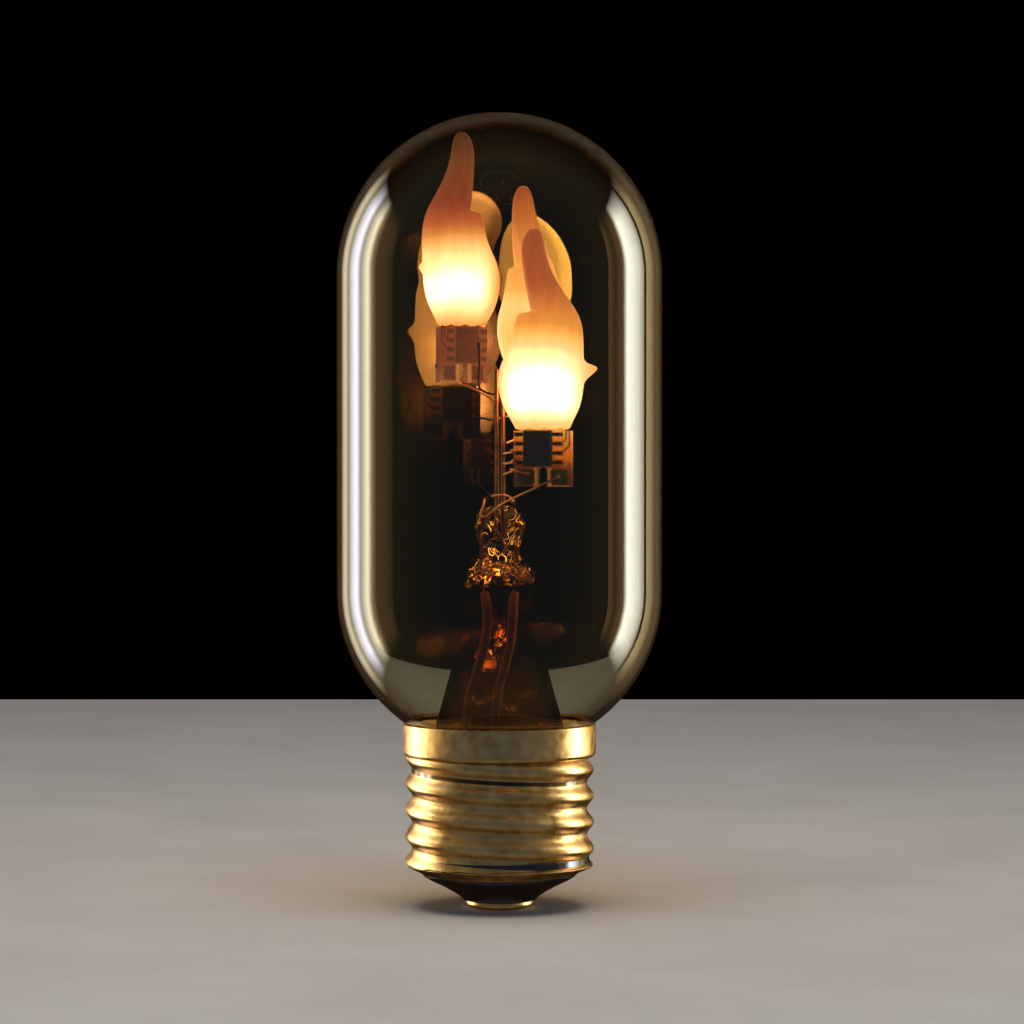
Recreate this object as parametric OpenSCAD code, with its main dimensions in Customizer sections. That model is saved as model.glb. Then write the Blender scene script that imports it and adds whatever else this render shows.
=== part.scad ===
// Flame lamp: a tubular glass bulb on an E27 screw cap, with three small circuit
// boards inside it, each carrying LEDs under a soft flame-shaped sleeve.
// +Z runs from the cap to the glass top. The origin is on the lamp's axis, at the
// upper end of the thread. Lengths are in millimetres.

/* [Glass] */
// Length from the tip of the centre contact to the top of the glass
overall_l = 110; // [108:0.5:118]
// Outside diameter of the glass
bulb_d = 45; // [44:0.5:50]
// Wall of the glass
glass_wall = 0.8; // [0.6:0.05:1]
// Outside diameter of the glass neck inside the cap
neck_d = 24.4; // [23.8:0.1:24.8]
// Length of the neck below the rim of the cap
neck_l = 8; // [6:0.5:9]

/* [Screw cap] */
// Diameter over the thread
thread_d = 26.2; // [26:0.05:26.4]
// Length of the thread
thread_l = 15; // [14:0.5:17]
// Diameter of the plain collar above the thread
collar_d = 26.7; // [26.5:0.1:27.4]
// Height of the collar above the thread
collar_h = 4.5; // [3.5:0.5:6]
// Sheet thickness of the shell
shell_wall = 0.35; // [0.25:0.05:0.45]
// Height of the glass insulator below the shell
insulator_h = 3.6; // [3:0.1:5]
// Diameter of the insulator where it meets the centre contact
insulator_tip_d = 10.4; // [10:0.1:12]
// Diameter of the centre contact
contact_d = 9.4; // [8:0.1:9.8]
// Height of the centre contact below the insulator
contact_h = 1.2; // [1:0.1:2]

/* [Glass stem] */
// Diameter of the stem tube
stem_d = 10.2; // [10:0.1:10.8]
// Wall of the stem tube and its flare
stem_wall = 0.9; // [0.7:0.05:0.95]
// Height of the top of the pinched head above the thread
stem_top = 35.4; // [34.4:0.2:36]
// Width of the pinched head
head_w = 7.3; // [6.6:0.1:8]
// Width of the waist below the head
waist_w = 5.8; // [5.4:0.1:6.2]
// Thickness of the pinched glass
pinch_t = 3.2; // [2.6:0.1:4]
// Diameter of the exhaust tube inside the stem
exhaust_d = 3.6; // [3:0.1:3.7]
// Length of the exhaust tube below the pinch
exhaust_l = 11; // [8:0.5:11.5]

/* [Circuit boards] */
// Width of a board below its flame
board_w = 8; // [7.4:0.1:8.6]
// Width of the part of a board inside its flame
tongue_w = 6.4; // [5.6:0.1:6.6]
// Length of a board
board_l = 19; // [18:0.5:19.5]
// Thickness of a board
board_t = 1; // [0.8:0.1:1.2]
// Length of a board below its flame
board_show = 7.7; // [7.7:0.1:8.6]
// Width of the slot in a board's lower edge
slot_w = 1.15; // [0.8:0.05:1.5]
// Height of the slot
slot_h = 2.65; // [2:0.05:2.9]

/* [Flame sleeves] */
// Height of a flame
flame_h = 27.4; // [26:0.2:27.6]
// Width of a flame across its widest part
flame_w = 11.7; // [11.2:0.1:12.2]
// Depth of a flame, front to back
flame_d = 8.4; // [7.8:0.1:9]
// Wall of the soft sleeve round its hollow
flame_wall = 1; // [0.8:0.1:1.1]
// How far the pointed ear stands out of the side
ear_out = 1.5; // [0.8:0.1:2]

/* [Wires] */
// Diameter of the bare wires
wire_d = 0.3; // [0.22:0.02:0.36]
// Diameter of the two upright rods
rod_d = 0.6; // [0.5:0.02:0.7]
// Outside diameter of the insulating sleeving on the lower leads
sleeving_d = 1.25; // [1.1:0.05:1.35]

/* [Power supply in the cap] */
// Width of the supply board
supply_w = 10.9; // [10:0.1:11.2]
// Gap between the exhaust tube and the top of the supply board
supply_gap = 1.8; // [1:0.2:4]
// Thickness of the supply board
supply_t = 1; // [0.8:0.1:1.2]
// Diameter of the smoothing capacitor
capacitor_d = 6.3; // [5:0.1:6.5]
// Height of the smoothing capacitor
capacitor_h = 8; // [6:0.5:8.5]
// Diameter of the choke
choke_d = 6; // [5:0.1:6.4]
// Height of the choke
choke_h = 6.5; // [5:0.5:7]

/* [Hidden] */
// Gap between pieces that only touch
touch = 0.03;
// Clearance of a slot or hole round what passes through it
clear = 0.1;
// Overshoot of a cut past the face that it opens
cut = 1;

// Glass and cap: radii, and heights above the upper end of the thread
bulb_r = bulb_d / 2;
neck_r = neck_d / 2;
thread_r = thread_d / 2;
shell_r = thread_r - shell_wall;
collar_r = collar_d / 2;
rim_r = collar_r - shell_wall;
collar_foot = 0.6;
lip_h = 1.2;
lip_r = 10.8;
lip_z = -thread_l - lip_h;
insulator_z = lip_z - insulator_h;
tip_z = insulator_z - contact_h;
glass_top = overall_l + tip_z;
// The lower dome rests on the inner edge of the collar
low_dome_z = collar_h + sqrt(pow(bulb_r, 2) - pow(rim_r, 2)) + touch;
high_dome_z = glass_top - bulb_r;
neck_end = collar_h - neck_l;
// The lip slopes, so its sheet is taller upright than it is thick
lip_slope = lip_h / (thread_r - lip_r);
lip_rise = shell_wall * sqrt(1 + pow(lip_slope, 2));
insulator_top = -thread_l + 1.2;
insulator_hole_r = 0.8;
contact_r = contact_d / 2;
contact_tip_r = contact_r - 1.2;
solder_r = 1.6;
solder_h = 0.44;

// Stem: flare, tube, shoulder and pinched head
stem_r = stem_d / 2;
flare_r = neck_r - glass_wall - touch;
flare_curve = 1.2;
shoulder_z = stem_top - 12.2;
shoulder_h = 4;
flare_start = shoulder_z - 3.7;
cavity_top = shoulder_z + 1.2;
head_z = stem_top - head_w / 2;
exhaust_r = exhaust_d / 2;
exhaust_wall = 0.8;

// Chip on every board, an eight-pin small-outline package
chip_w = 3.9;
chip_l = 4.9;
chip_t = 1.45;
chip_gap = 0.1;
chip_draft = 0.16;
pin_pitch = 1.27;
pin_span = 6;
pin_w = 0.42;
pin_t = 0.2;
pins_a_side = 4;
chip_x = -0.6;
chip_z = 2.75;
// LEDs on both faces of a board, as places across and up the board
led_w = 2;
led_h = 1.25;
led_t = 0.7;
LED_SPOTS = [[-1.8, 11.4], [1.8, 11.4], [0, 14.8]];
// Solder pads beside the slot
pad_x = 2.2;
pad_z = 1.35;
pad_w = 2.2;
pad_h = 1.7;
pad_t = 0.25;
pad_r = 1.4;

// Heights of the boards' lower edges. The front board stands just above the stem, the
// tip of the left flame just under the glass, and the rear board between them.
front_lift = 2;
tip_gap = 2.05;
rear_drop = 0.45;
front_z = stem_top + front_lift;
left_z = glass_top - tip_gap - flame_h - touch - board_show;
rear_z = (front_z + left_z) / 2 - rear_drop;
// Flame units: x, y and height of the board's lower edge, turn about the upright
// axis, and how far the tip of the flame leans in x and y
FRONT = [5.95, -8, front_z, -10, 0, 0.3];
LEFT = [-5.3, 3.6, left_z, -145, -1.1, -1.5];
REAR = [4.6, 5, rear_z, 62, -0.7, -0.3];

// Outline of a flame, from its lower edge up. Each row holds the height as a
// percentage of the flame's height, the left and right edges as percentages of its
// width, and half its depth as a percentage of its depth.
FLAME = [
    [0, -33, 32, 25], [4, -36, 34, 31], [10, -46, 42, 40], [17, -51, 46, 46],
    [22, -53, 47, 49], [25, -53, 47, 50], [28.5, -52, 47, 50], [32, -50, 47, 50],
    [35, -47, 47, 49], [38, -43, 47, 47], [45, -36, 47, 44], [51, -34.5, 46, 40],
    [55, -33, 43, 37], [57.5, -29, 40, 35], [58.5, -14, 39, 34], [64, -17, 31, 31],
    [70, -20, 21, 28], [78, -23.5, 10, 24], [88, -26, 2, 19], [94, -24.5, 1, 16],
    [98, -20, -2.5, 11], [100, -14.5, -6, 5]
];
// The pointed ear, the fold up the tongue and the hollow, in the same percentages
ear_height = 28.5;
ear_reach = 6.5;
ear_point = 30;
fold_start = 54;
fold_depth = 0.3;
fold_turn = 285;
fold_spread = 22;
HOLLOW = [6, 10, 17, 25, 32, 38, 45, 48];
flame_sides = 24;
hollow_sides = 16;

// Two upright rods stand in the pinched head, as x and y
ROD_LEFT = [-0.35, 0.35];
ROD_RIGHT = [0.5, -0.35];
rod_left_top = left_z + 1.7;
rod_right_top = rear_z + 5.2;
rod_foot = stem_top - 5;
rod_r = rod_d / 2;
wire_r = wire_d / 2;
sleeving_r = sleeving_d / 2;
wire_sides = 8;
// The two leads pass straight through the pinch, this far from the axis
lead_x = 2.15;
lead_top = head_z + sqrt(pow(head_w / 2, 2) - pow(lead_x, 2)) + 0.9;

// Supply board, upright in the cap and the neck
supply_y = 0.3;
supply_low = insulator_top + touch;
supply_top = cavity_top - exhaust_l - supply_gap;
supply_front = supply_y - supply_t / 2;
supply_back = supply_y + supply_t / 2;
capacitor_r = capacitor_d / 2;
choke_r = choke_d / 2;
part_foot = supply_low + 0.8;
bridge_w = 4;
bridge_l = 4.7;
bridge_t = 2.4;
bridge_x = -3;
choke_x = 2.2;
supply_chip_z = part_foot + capacitor_h + 0.57;
resistor_x = -4;
resistor_r = 1.3;
resistor_l = 6;
capacitor_x = 1.6;

// Smooth curve through the given points, with a number of steps per stretch
function curve_point(a, b, c, d, t) =
    0.5 * (2 * b + (c - a) * t + (2 * a - 5 * b + 4 * c - d) * t * t
        + (3 * b - a - 3 * c + d) * t * t * t);
function smooth(path, steps) = let (n = len(path)) concat(
    [for (i = [0 : n - 2], s = [0 : steps - 1])
        curve_point(path[max(i - 1, 0)], path[i], path[i + 1],
            path[min(i + 2, n - 1)], s / steps)],
    [path[n - 1]]);

// Rings of points along a path, each square to the path and none twisted
function unit(v) = v / norm(v);
function heading(path, i) = let (n = len(path))
    i == 0 ? unit(path[1] - path[0])
    : i == n - 1 ? unit(path[i] - path[i - 1])
    : unit(unit(path[i] - path[i - 1]) + unit(path[i + 1] - path[i]));
function carried_sides(path, i, side) = i >= len(path) ? [] :
    let (h = heading(path, i), s = unit(side - h * (side * h)))
    concat([s], carried_sides(path, i + 1, s));
function first_side(h) = abs(h[2]) < 0.9 ? cross(h, [0, 0, 1]) : cross(h, [0, 1, 0]);
function ring(centre, h, s, r) = let (w = cross(h, s))
    [for (k = [0 : wire_sides - 1]) let (a = 360 * k / wire_sides)
        centre + r * (cos(a) * s + sin(a) * w)];
function rings(path, r) = let (s = carried_sides(path, 0, first_side(heading(path, 0))))
    [for (i = [0 : len(path) - 1]) each ring(path[i], heading(path, i), s[i], r)];

// Triangles of the band between one ring of n points and the next
function band(i, n, first = 0) = [for (k = [0 : n - 1])
    let (a = first + i * n + k, b = first + i * n + (k + 1) % n)
    each [[a, a + n, b + n], [a, b + n, b]]];
function turned(faces) = [for (f = faces) [f[0], f[2], f[1]]];
function bands(count, n, first = 0) = [for (i = [0 : count - 2]) each band(i, n, first)];

// Closed solid from rings of n points
module loft(points, n) {
    count = len(points) / n;
    polyhedron(
        points = points,
        faces = concat(
            [[for (k = [0 : n - 1]) k]],
            bands(count, n),
            [[for (k = [n - 1 : -1 : 0]) (count - 1) * n + k]]),
        convexity = 6);
}
module wire(path, r = wire_r) {
    loft(rings(path, r), wire_sides);
}
// Hollow sleeving along a path, open at both ends
module sleeving(path, r_out, r_in) {
    n = wire_sides;
    count = len(path);
    inner = count * n;
    end = (count - 1) * n;
    polyhedron(
        points = concat(rings(path, r_out), rings(path, r_in)),
        faces = concat(
            bands(count, n),
            turned(bands(count, n, inner)),
            [for (k = [0 : n - 1]) let (j = (k + 1) % n)
                each [[k, j, inner + j], [k, inner + j, inner + k]]],
            [for (k = [0 : n - 1]) let (j = (k + 1) % n)
                each [[end + j, end + k, inner + end + k],
                    [end + j, inner + end + k, inner + end + j]]]),
        convexity = 6);
}

// Glass bulb: a capsule that narrows to a short neck
module capsule(r) {
    translate([0, high_dome_z]) circle(r = r, $fn = 128);
    translate([0, low_dome_z]) circle(r = r, $fn = 128);
    translate([-r, low_dome_z]) square([2 * r, high_dome_z - low_dome_z]);
}
module glass_envelope() {
    color("#b8b48a", 0.3)
    rotate_extrude($fn = 128)
    intersection() {
        difference() {
            union() {
                capsule(bulb_r);
                translate([0, neck_end]) square([neck_r, low_dome_z - neck_end]);
            }
            capsule(bulb_r - glass_wall);
            translate([0, neck_end - cut])
                square([neck_r - glass_wall, low_dome_z - neck_end + cut]);
        }
        translate([0, neck_end]) square([bulb_r + cut, glass_top - neck_end + cut]);
    }
}

// Glass stem: flare, tube and shoulder as one wall, and the pinched head above them
function flare_width(z) = (flare_r - stem_r)
    * pow((flare_start - z) / (flare_start - neck_end), flare_curve);
module stem_outline(inset) {
    polygon(concat(
        [[0, neck_end]],
        [for (s = [0 : 0.1 : 0.95]) let (z = neck_end + s * (flare_start - neck_end))
            [stem_r - inset + flare_width(z), z]],
        [[stem_r - inset, flare_start]],
        // The shoulder closes in to the pinch
        [for (a = [0 : 15 : 90])
            [waist_w / 2 - inset + (stem_r - waist_w / 2) * cos(a),
                shoulder_z + (shoulder_h - inset) * sin(a)]],
        [[0, shoulder_z + shoulder_h - inset]]));
}
module pinch_outline() {
    translate([0, head_z]) circle(r = head_w / 2, $fn = 64);
    translate([-waist_w / 2, shoulder_z + shoulder_h / 2])
        square([waist_w, head_z - shoulder_z - shoulder_h / 2]);
}
module glass_stem() {
    color("#c9c4a8", 0.35)
    difference() {
        union() {
            rotate_extrude($fn = 96) stem_outline(0);
            rotate([90, 0, 0]) translate([0, 0, -pinch_t / 2])
                linear_extrude(pinch_t) pinch_outline();
        }
        rotate_extrude($fn = 96) intersection() {
            union() {
                stem_outline(stem_wall);
                translate([0, neck_end - cut])
                    square([flare_r - stem_wall, cut + touch]);
            }
            translate([0, neck_end - cut]) square([bulb_r, cavity_top - neck_end + cut]);
        }
        for (p = [ROD_LEFT, ROD_RIGHT])
            translate([p[0], p[1], rod_foot])
                cylinder(r = rod_r + touch, h = stem_top, $fn = 48);
        for (side = [-1, 1])
            translate([side * lead_x, 0, shoulder_z])
                cylinder(r = wire_r + touch, h = stem_top, $fn = 48);
    }
}
module exhaust_tube() {
    color("#c9c4a8", 0.35)
    translate([0, 0, cavity_top - exhaust_l])
    difference() {
        union() {
            translate([0, 0, exhaust_r])
                cylinder(r = exhaust_r, h = exhaust_l - exhaust_r - touch, $fn = 48);
            translate([0, 0, exhaust_r]) sphere(r = exhaust_r, $fn = 48);
        }
        translate([0, 0, exhaust_r + exhaust_wall])
            cylinder(r = exhaust_r - exhaust_wall, h = exhaust_l, $fn = 48);
    }
}

// Screw cap: shell with a lip that grips the insulator
module screw_shell() {
    color("#c9a864")
    rotate_extrude($fn = 128) polygon([
        [collar_r, collar_h], [collar_r, collar_foot], [thread_r, 0],
        [thread_r, -thread_l], [lip_r, lip_z], [lip_r, lip_z + lip_rise],
        [shell_r, -thread_l + lip_rise - shell_wall * lip_slope],
        [shell_r, 0], [rim_r, collar_foot], [rim_r, collar_h]
    ]);
}
module neck_cement() {
    color("#d8d2c4")
    difference() {
        translate([0, 0, collar_foot + clear])
            cylinder(r = rim_r - touch, h = collar_h - collar_foot - 1.2, $fn = 96);
        translate([0, 0, -cut]) cylinder(r = neck_r + touch, h = 3 * collar_h, $fn = 96);
    }
}
module cap_insulator() {
    color("#15151a")
    rotate_extrude($fn = 96) polygon([
        [insulator_hole_r, insulator_top], [shell_r - touch, insulator_top],
        [shell_r - touch, -thread_l + lip_rise - shell_wall * lip_slope + clear],
        [lip_r - touch, lip_z + lip_rise + clear], [lip_r - touch, lip_z],
        [lip_r - 0.5, lip_z - 0.5], [insulator_tip_d / 2, insulator_z + 0.6],
        [insulator_tip_d / 2, insulator_z], [insulator_hole_r, insulator_z]
    ]);
}
module centre_contact() {
    color("#c9a864")
    translate([0, 0, tip_z])
    rotate_extrude($fn = 96) difference() {
        polygon([
            [wire_r + clear, contact_h - touch], [contact_r, contact_h - touch],
            [contact_r, contact_h - 0.5], [contact_tip_r, 0], [wire_r + clear, 0]
        ]);
        translate([0, -cut]) square([solder_r, cut + solder_h + 2 * touch]);
    }
}
// A drop of solder that set with a flat foot and a rounded top
module solder_drop(r, h) {
    rotate_extrude($fn = 48) polygon([
        [0, 0], [r, 0], [r * 0.93, h * 0.34], [r * 0.78, h * 0.64],
        [r * 0.56, h * 0.86], [r * 0.28, h], [0, h]
    ]);
}
module contact_solder() {
    color("#b9bcc2")
    translate([0, 0, tip_z + solder_h + touch]) mirror([0, 0, 1])
        solder_drop(solder_r - touch, solder_h);
}

// Flame units
module place(at) {
    translate([at[0], at[1], at[2]]) rotate([0, 0, at[3]]) children();
}
// A point of a board, given across, outward and up it, in the lamp's own frame
function spot(at, p) = [
    at[0] + p[0] * cos(at[3]) + p[1] * sin(at[3]),
    at[1] + p[0] * sin(at[3]) - p[1] * cos(at[3]),
    at[2] + p[2]];

module board() {
    top_r = 1.5;
    color("#a8642c")
    rotate([90, 0, 0]) translate([0, 0, -board_t / 2]) linear_extrude(board_t)
    difference() {
        union() {
            translate([-board_w / 2, 0]) square([board_w, board_show - clear]);
            translate([-tongue_w / 2, 0]) square([tongue_w, board_l - top_r]);
            for (side = [-1, 1])
                translate([side * (tongue_w / 2 - top_r), board_l - top_r])
                    circle(r = top_r, $fn = 32);
            translate([top_r - tongue_w / 2, board_l - 2 * top_r])
                square([tongue_w - 2 * top_r, 2 * top_r]);
        }
        translate([-slot_w / 2, -cut]) square([slot_w, slot_h - slot_w / 2 + cut]);
        translate([0, slot_h - slot_w / 2]) circle(r = slot_w / 2, $fn = 32);
    }
}
module leds() {
    color("#f4e7b0")
    for (p = LED_SPOTS, face = [0, 180])
        rotate([0, 0, face]) translate([p[0], -board_t / 2 - touch, p[1]])
            rotate([90, 0, 0]) {
                translate([-led_w / 2, -led_h / 2, 0]) cube([led_w, led_h, led_t / 2]);
                translate([0.25 - led_w / 2, -led_h / 2, 0])
                    cube([led_w - 0.5, led_h, led_t]);
            }
}
module chip() {
    top = chip_gap + chip_t;
    middle = chip_gap + chip_t / 2;
    color("#1b1d22")
    difference() {
        linear_extrude(chip_l) polygon([
            [chip_draft - chip_w / 2, -chip_gap], [chip_w / 2 - chip_draft, -chip_gap],
            [chip_w / 2, -middle], [chip_w / 2 - chip_draft, -top],
            [chip_draft - chip_w / 2, -top], [-chip_w / 2, -middle]
        ]);
        translate([-chip_w / 2 + 0.85, -top - cut, chip_l - 0.85])
            rotate([-90, 0, 0]) cylinder(r = 0.25, h = cut + 0.1, $fn = 24);
    }
}
module chip_pins() {
    bend = chip_w / 2 + touch;
    middle = chip_gap + chip_t / 2;
    color("#b9bcc2")
    for (side = [0, 1], i = [0 : pins_a_side - 1])
        mirror([side, 0, 0])
        translate([0, 0, chip_l / 2 + (i - (pins_a_side - 1) / 2) * pin_pitch - pin_w / 2])
        linear_extrude(pin_w) polygon([
            [bend, -middle - pin_t / 2], [bend + 0.4, -middle - pin_t / 2],
            [bend + 0.62, -pin_t - touch], [pin_span / 2, -pin_t - touch],
            [pin_span / 2, -touch], [bend + 0.45, -touch],
            [bend + 0.22, -middle + pin_t / 2], [bend, -middle + pin_t / 2]
        ]);
}
module solder_joints() {
    toe = pin_span / 2 + touch;
    color("#8f9096")
    translate([0, -board_t / 2, 0]) {
        for (side = [0, 1], i = [0 : pins_a_side - 1])
            translate([chip_x, 0, chip_z + chip_l / 2
                + (i - (pins_a_side - 1) / 2) * pin_pitch - pin_w / 2])
            mirror([side, 0, 0]) linear_extrude(pin_w)
                polygon([[toe, -touch], [toe + 0.3, -touch], [toe, -pin_t]]);
        for (side = [-1, 1])
            translate([side * pad_x, -touch, pad_z]) rotate([90, 0, 0])
            intersection() {
                translate([-pad_w / 2, -pad_h / 2, 0]) cube([pad_w, pad_h, 1]);
                solder_drop(pad_r, pad_t);
            }
    }
}
module board_chip(at) {
    place(at) translate([chip_x, -board_t / 2, chip_z]) chip();
}
module board_chip_pins(at) {
    place(at) translate([chip_x, -board_t / 2, chip_z]) chip_pins();
}

// One level of the flame's outline: n points, drawn in from the surface by inset
function column(i) = [for (row = FLAME) [row[0], row[i]]];
function level(h, inset, n, lean) = let (
        l = lookup(h, column(1)) * flame_w / 100 + inset,
        r = lookup(h, column(2)) * flame_w / 100 - inset,
        d = lookup(h, column(3)) * flame_d / 100 - inset,
        ear = ear_out * max(0, 1 - abs(h - ear_height) / ear_reach),
        fold = inset > 0 ? 0 : fold_depth * max(0, min(1, (h - fold_start) / 10)))
    [for (k = [0 : n - 1]) let (
            a = 360 * k / n,
            point = inset > 0 ? 0 : ear * pow(max(0, cos(a)), ear_point),
            dent = 1 - fold * exp(-pow((a - fold_turn) / fold_spread, 2)))
        [(l + r) / 2 + (r - l) / 2 * cos(a) + point + lean[0] * h / 100,
            d * sin(a) * dent + lean[1] * h / 100,
            h * flame_h / 100]];
module flame(at) {
    turn = at[3];
    lean = [at[4] * cos(turn) + at[5] * sin(turn), at[5] * cos(turn) - at[4] * sin(turn)];
    color("#f2a04c")
    place(at) translate([0, 0, board_show + touch])
    difference() {
        loft([for (row = FLAME) each level(row[0], 0, flame_sides, lean)], flame_sides);
        loft([for (h = HOLLOW) each level(h, flame_wall, hollow_sides, lean)],
            hollow_sides);
        translate([-tongue_w / 2 - clear, -board_t / 2 - clear, -cut])
            cube([tongue_w + 2 * clear, board_t + 2 * clear,
                cut + flame_h * HOLLOW[1] / 100]);
    }
}

// Wires. A wire that ends at another stops beside it, a touch away.
beside = wire_r + rod_r + touch;
face = board_t / 2 + pad_t + wire_r + touch;
module bare_wire(path, steps = 3) {
    color("#c88a3a") wire(smooth(path, steps));
}
module rod(at, top) {
    color("#6b625a")
    translate([at[0], at[1], rod_foot + touch])
        cylinder(r = rod_r, h = top - rod_foot - touch, $fn = 48);
}
module cross_link() {
    y = ROD_LEFT[1] - beside;
    bare_wire([[lead_x - 2 * wire_r - touch, 0, lead_top - 0.3],
        [1.4, -0.9, lead_top + 0.3], [0.4, -1.3, lead_top + 0.6],
        [ROD_LEFT[0] - 0.3, y, lead_top + 0.5], [-1.1, y - 0.1, lead_top + 0.4]]);
}
// Routes of the sleeved leads, as x, y and depth below the top of the stem's cavity
LEAD_LEFT = [[-2, -1.6, -1.8], [-1.7, -2.8, -3], [-1.6, -3, -5.4], [-2.1, -3, -9.4],
    [-3.1, -2.9, -12.9], [-4.1, -2.6, -16.4], [-4.4, -2, -19.4], [-4.3, -1.2, -21.4]];
LEAD_RIGHT = [[2, -1.6, -1.8], [1.8, -2.7, -3], [1.7, -2.95, -5.4], [1.5, -3, -8.4],
    [0.7, -2.9, -11.9], [-0.1, -2.6, -14.9], [-0.5, -2, -17.9], [-0.5, -1.2, -19.8]];
function hung(route) = [for (p = route) p + [0, 0, cavity_top]];
module lead_wire(side, route) {
    path = hung(route);
    low = path[len(path) - 1];
    color("#b9823a")
    wire(concat(
        [[side * lead_x, 0, lead_top], [side * lead_x, 0, cavity_top - 0.4]],
        smooth(path, 2),
        [[low[0], supply_front - wire_r - touch, low[2] - 1.2]]));
}
module lead_sleeving(route) {
    color("#b08a4a")
    sleeving(smooth(hung(route), 2), sleeving_r, wire_r + touch);
}
// Nearly straight from its pad, under the board's edge, to a hook in front of the stem's
// head that turns up to the end of the left lead
module front_feed_wire() {
    bare_wire([spot(FRONT, [pad_x, face, 1.35]), spot(FRONT, [0.9, face + 0.3, 0.7]),
        spot(FRONT, [-1.5, face, -0.45]), [0.1, -4.65, stem_top - 0.6],
        [-1.55, -2.75, stem_top - 1.93], [-1.98, -2.45, stem_top - 2.18],
        [-2.43, -2.35, stem_top - 2.15], [-2.57, -2.25, stem_top - 1.74],
        [-2.2, -2.05, stem_top - 0.65], [-2.02, -1.25, stem_top + 0.15],
        [-lead_x + 0.1, -2 * wire_r - touch, lead_top - 0.3]]);
}
module front_links() {
    edge = board_w / 2 + wire_r + touch;
    for (h = [4.8, 3.4])
        bare_wire([spot(FRONT, [-edge, 0, h]), [1.8, -5, FRONT[2] + h - 0.1],
            [ROD_RIGHT[0] + 0.1, ROD_RIGHT[1] - beside, FRONT[2] + h - 0.3]], 2);
    bare_wire([spot(FRONT, [-1.9, face, 1.8]), spot(FRONT, [-3, face, 1.95]),
        spot(FRONT, [-edge, 0.7, 2.3]), spot(FRONT, [-edge - 0.2, -1.6, 2.2]),
        [ROD_RIGHT[0] + 0.1, ROD_RIGHT[1] - beside, FRONT[2] + 1.6]]);
}
module left_feed_wire() {
    below = -wire_r - touch;
    bare_wire([spot(LEFT, [0.3, 0, below]), [-3.2, 2.2, LEFT[2] - 1.1],
        [ROD_LEFT[0] - 0.1, ROD_LEFT[1] + beside, LEFT[2] - 2.8]]);
}
module left_links() {
    back = -board_t / 2 - wire_r - touch;
    bare_wire([spot(LEFT, [-2.6, back, 5.4]), spot(LEFT, [-2.6, back, 1.2]),
        spot(LEFT, [-2.2, back - 0.5, -0.6]), [-1.6, 2.6, LEFT[2] - 1.5],
        [ROD_LEFT[0] + 0.2, ROD_LEFT[1] + beside, LEFT[2] - 1.7]]);
    bare_wire([spot(LEFT, [pad_x, face, pad_z]), spot(LEFT, [3.6, face, 2]),
        spot(LEFT, [board_w / 2 + wire_r + touch, 0.2, 2.4])], 2);
}
module rear_feed_wire() {
    bare_wire([spot(REAR, [-pad_x, face, 1.35]), [3.2, 1.4, REAR[2] + 0.2],
        [ROD_RIGHT[0] + beside, ROD_RIGHT[1] + 0.1, REAR[2] - 0.8]]);
}
module rear_links() {
    back = -board_t / 2 - wire_r - touch;
    bare_wire([spot(REAR, [-2.8, back, 3.4]), [1.4, 3.2, REAR[2] + 3],
        [ROD_LEFT[0] + 0.1, ROD_LEFT[1] + beside, REAR[2] + 2.6]]);
}

// Power supply inside the cap
module supply_board() {
    color("#a8642c")
    translate([-supply_w / 2, supply_front, supply_low])
        cube([supply_w, supply_t, supply_top - supply_low]);
}
module bridge_rectifier() {
    color("#1b1d22")
    translate([bridge_x, supply_back + touch, part_foot]) rotate([0, 0, 180])
        translate([-bridge_w / 2, -bridge_t, 0]) {
            translate([0, 0, 0.6]) cube([bridge_w, bridge_t, bridge_l - 1.2]);
            for (x = [0.5, bridge_w - 1.1])
                translate([x, bridge_t - 0.3, 0]) cube([0.6, 0.3, bridge_l]);
        }
}
module supply_chip() {
    translate([0, supply_front, supply_chip_z]) chip();
}
module supply_chip_pins() {
    translate([0, supply_front, supply_chip_z]) chip_pins();
}
module smoothing_capacitor() {
    color("#2b3550")
    translate([capacitor_x, supply_front - capacitor_r - touch, part_foot])
    rotate_extrude($fn = 64) polygon([
        [0, 0.4], [capacitor_r - 0.5, 0.4], [capacitor_r - 0.5, 0], [capacitor_r, 0],
        [capacitor_r, 0.8], [capacitor_r - 0.25, 1.1], [capacitor_r, 1.4],
        [capacitor_r, capacitor_h], [capacitor_r - 0.6, capacitor_h],
        [capacitor_r - 0.6, capacitor_h - 0.15], [0, capacitor_h - 0.15]
    ]);
}
module choke() {
    color("#3a3a3c")
    translate([choke_x, supply_back + choke_r + touch, part_foot])
    rotate_extrude($fn = 64) polygon([
        [0, 0], [choke_r, 0], [choke_r, 1], [choke_r - 0.6, 1.2],
        [choke_r - 0.6, choke_h - 1.2], [choke_r, choke_h - 1], [choke_r, choke_h],
        [0, choke_h]
    ]);
}
module fusible_resistor() {
    color("#4a8f5a")
    translate([resistor_x, supply_front - resistor_r - touch, part_foot])
    rotate_extrude($fn = 48) polygon([
        [0, 0], [resistor_r - 0.3, 0], [resistor_r, 0.4], [resistor_r, 1.3],
        [resistor_r - 0.2, 1.7], [resistor_r - 0.2, resistor_l - 1.7],
        [resistor_r, resistor_l - 1.3], [resistor_r, resistor_l - 0.4],
        [resistor_r - 0.3, resistor_l], [0, resistor_l]
    ]);
}
module live_wire() {
    low = tip_z + solder_h + 3 * touch;
    y = supply_front - resistor_r - touch;
    color("#c88a3a")
    wire(concat(
        [[0, 0, low], [0, 0, insulator_top - 0.4]],
        smooth([[0, -0.5, insulator_top + 0.2], [-2, -1.2, insulator_top + 0.4],
            [resistor_x + 0.4, y, insulator_top + 0.5]], 3),
        [[resistor_x, y, part_foot - touch]]));
}
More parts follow.
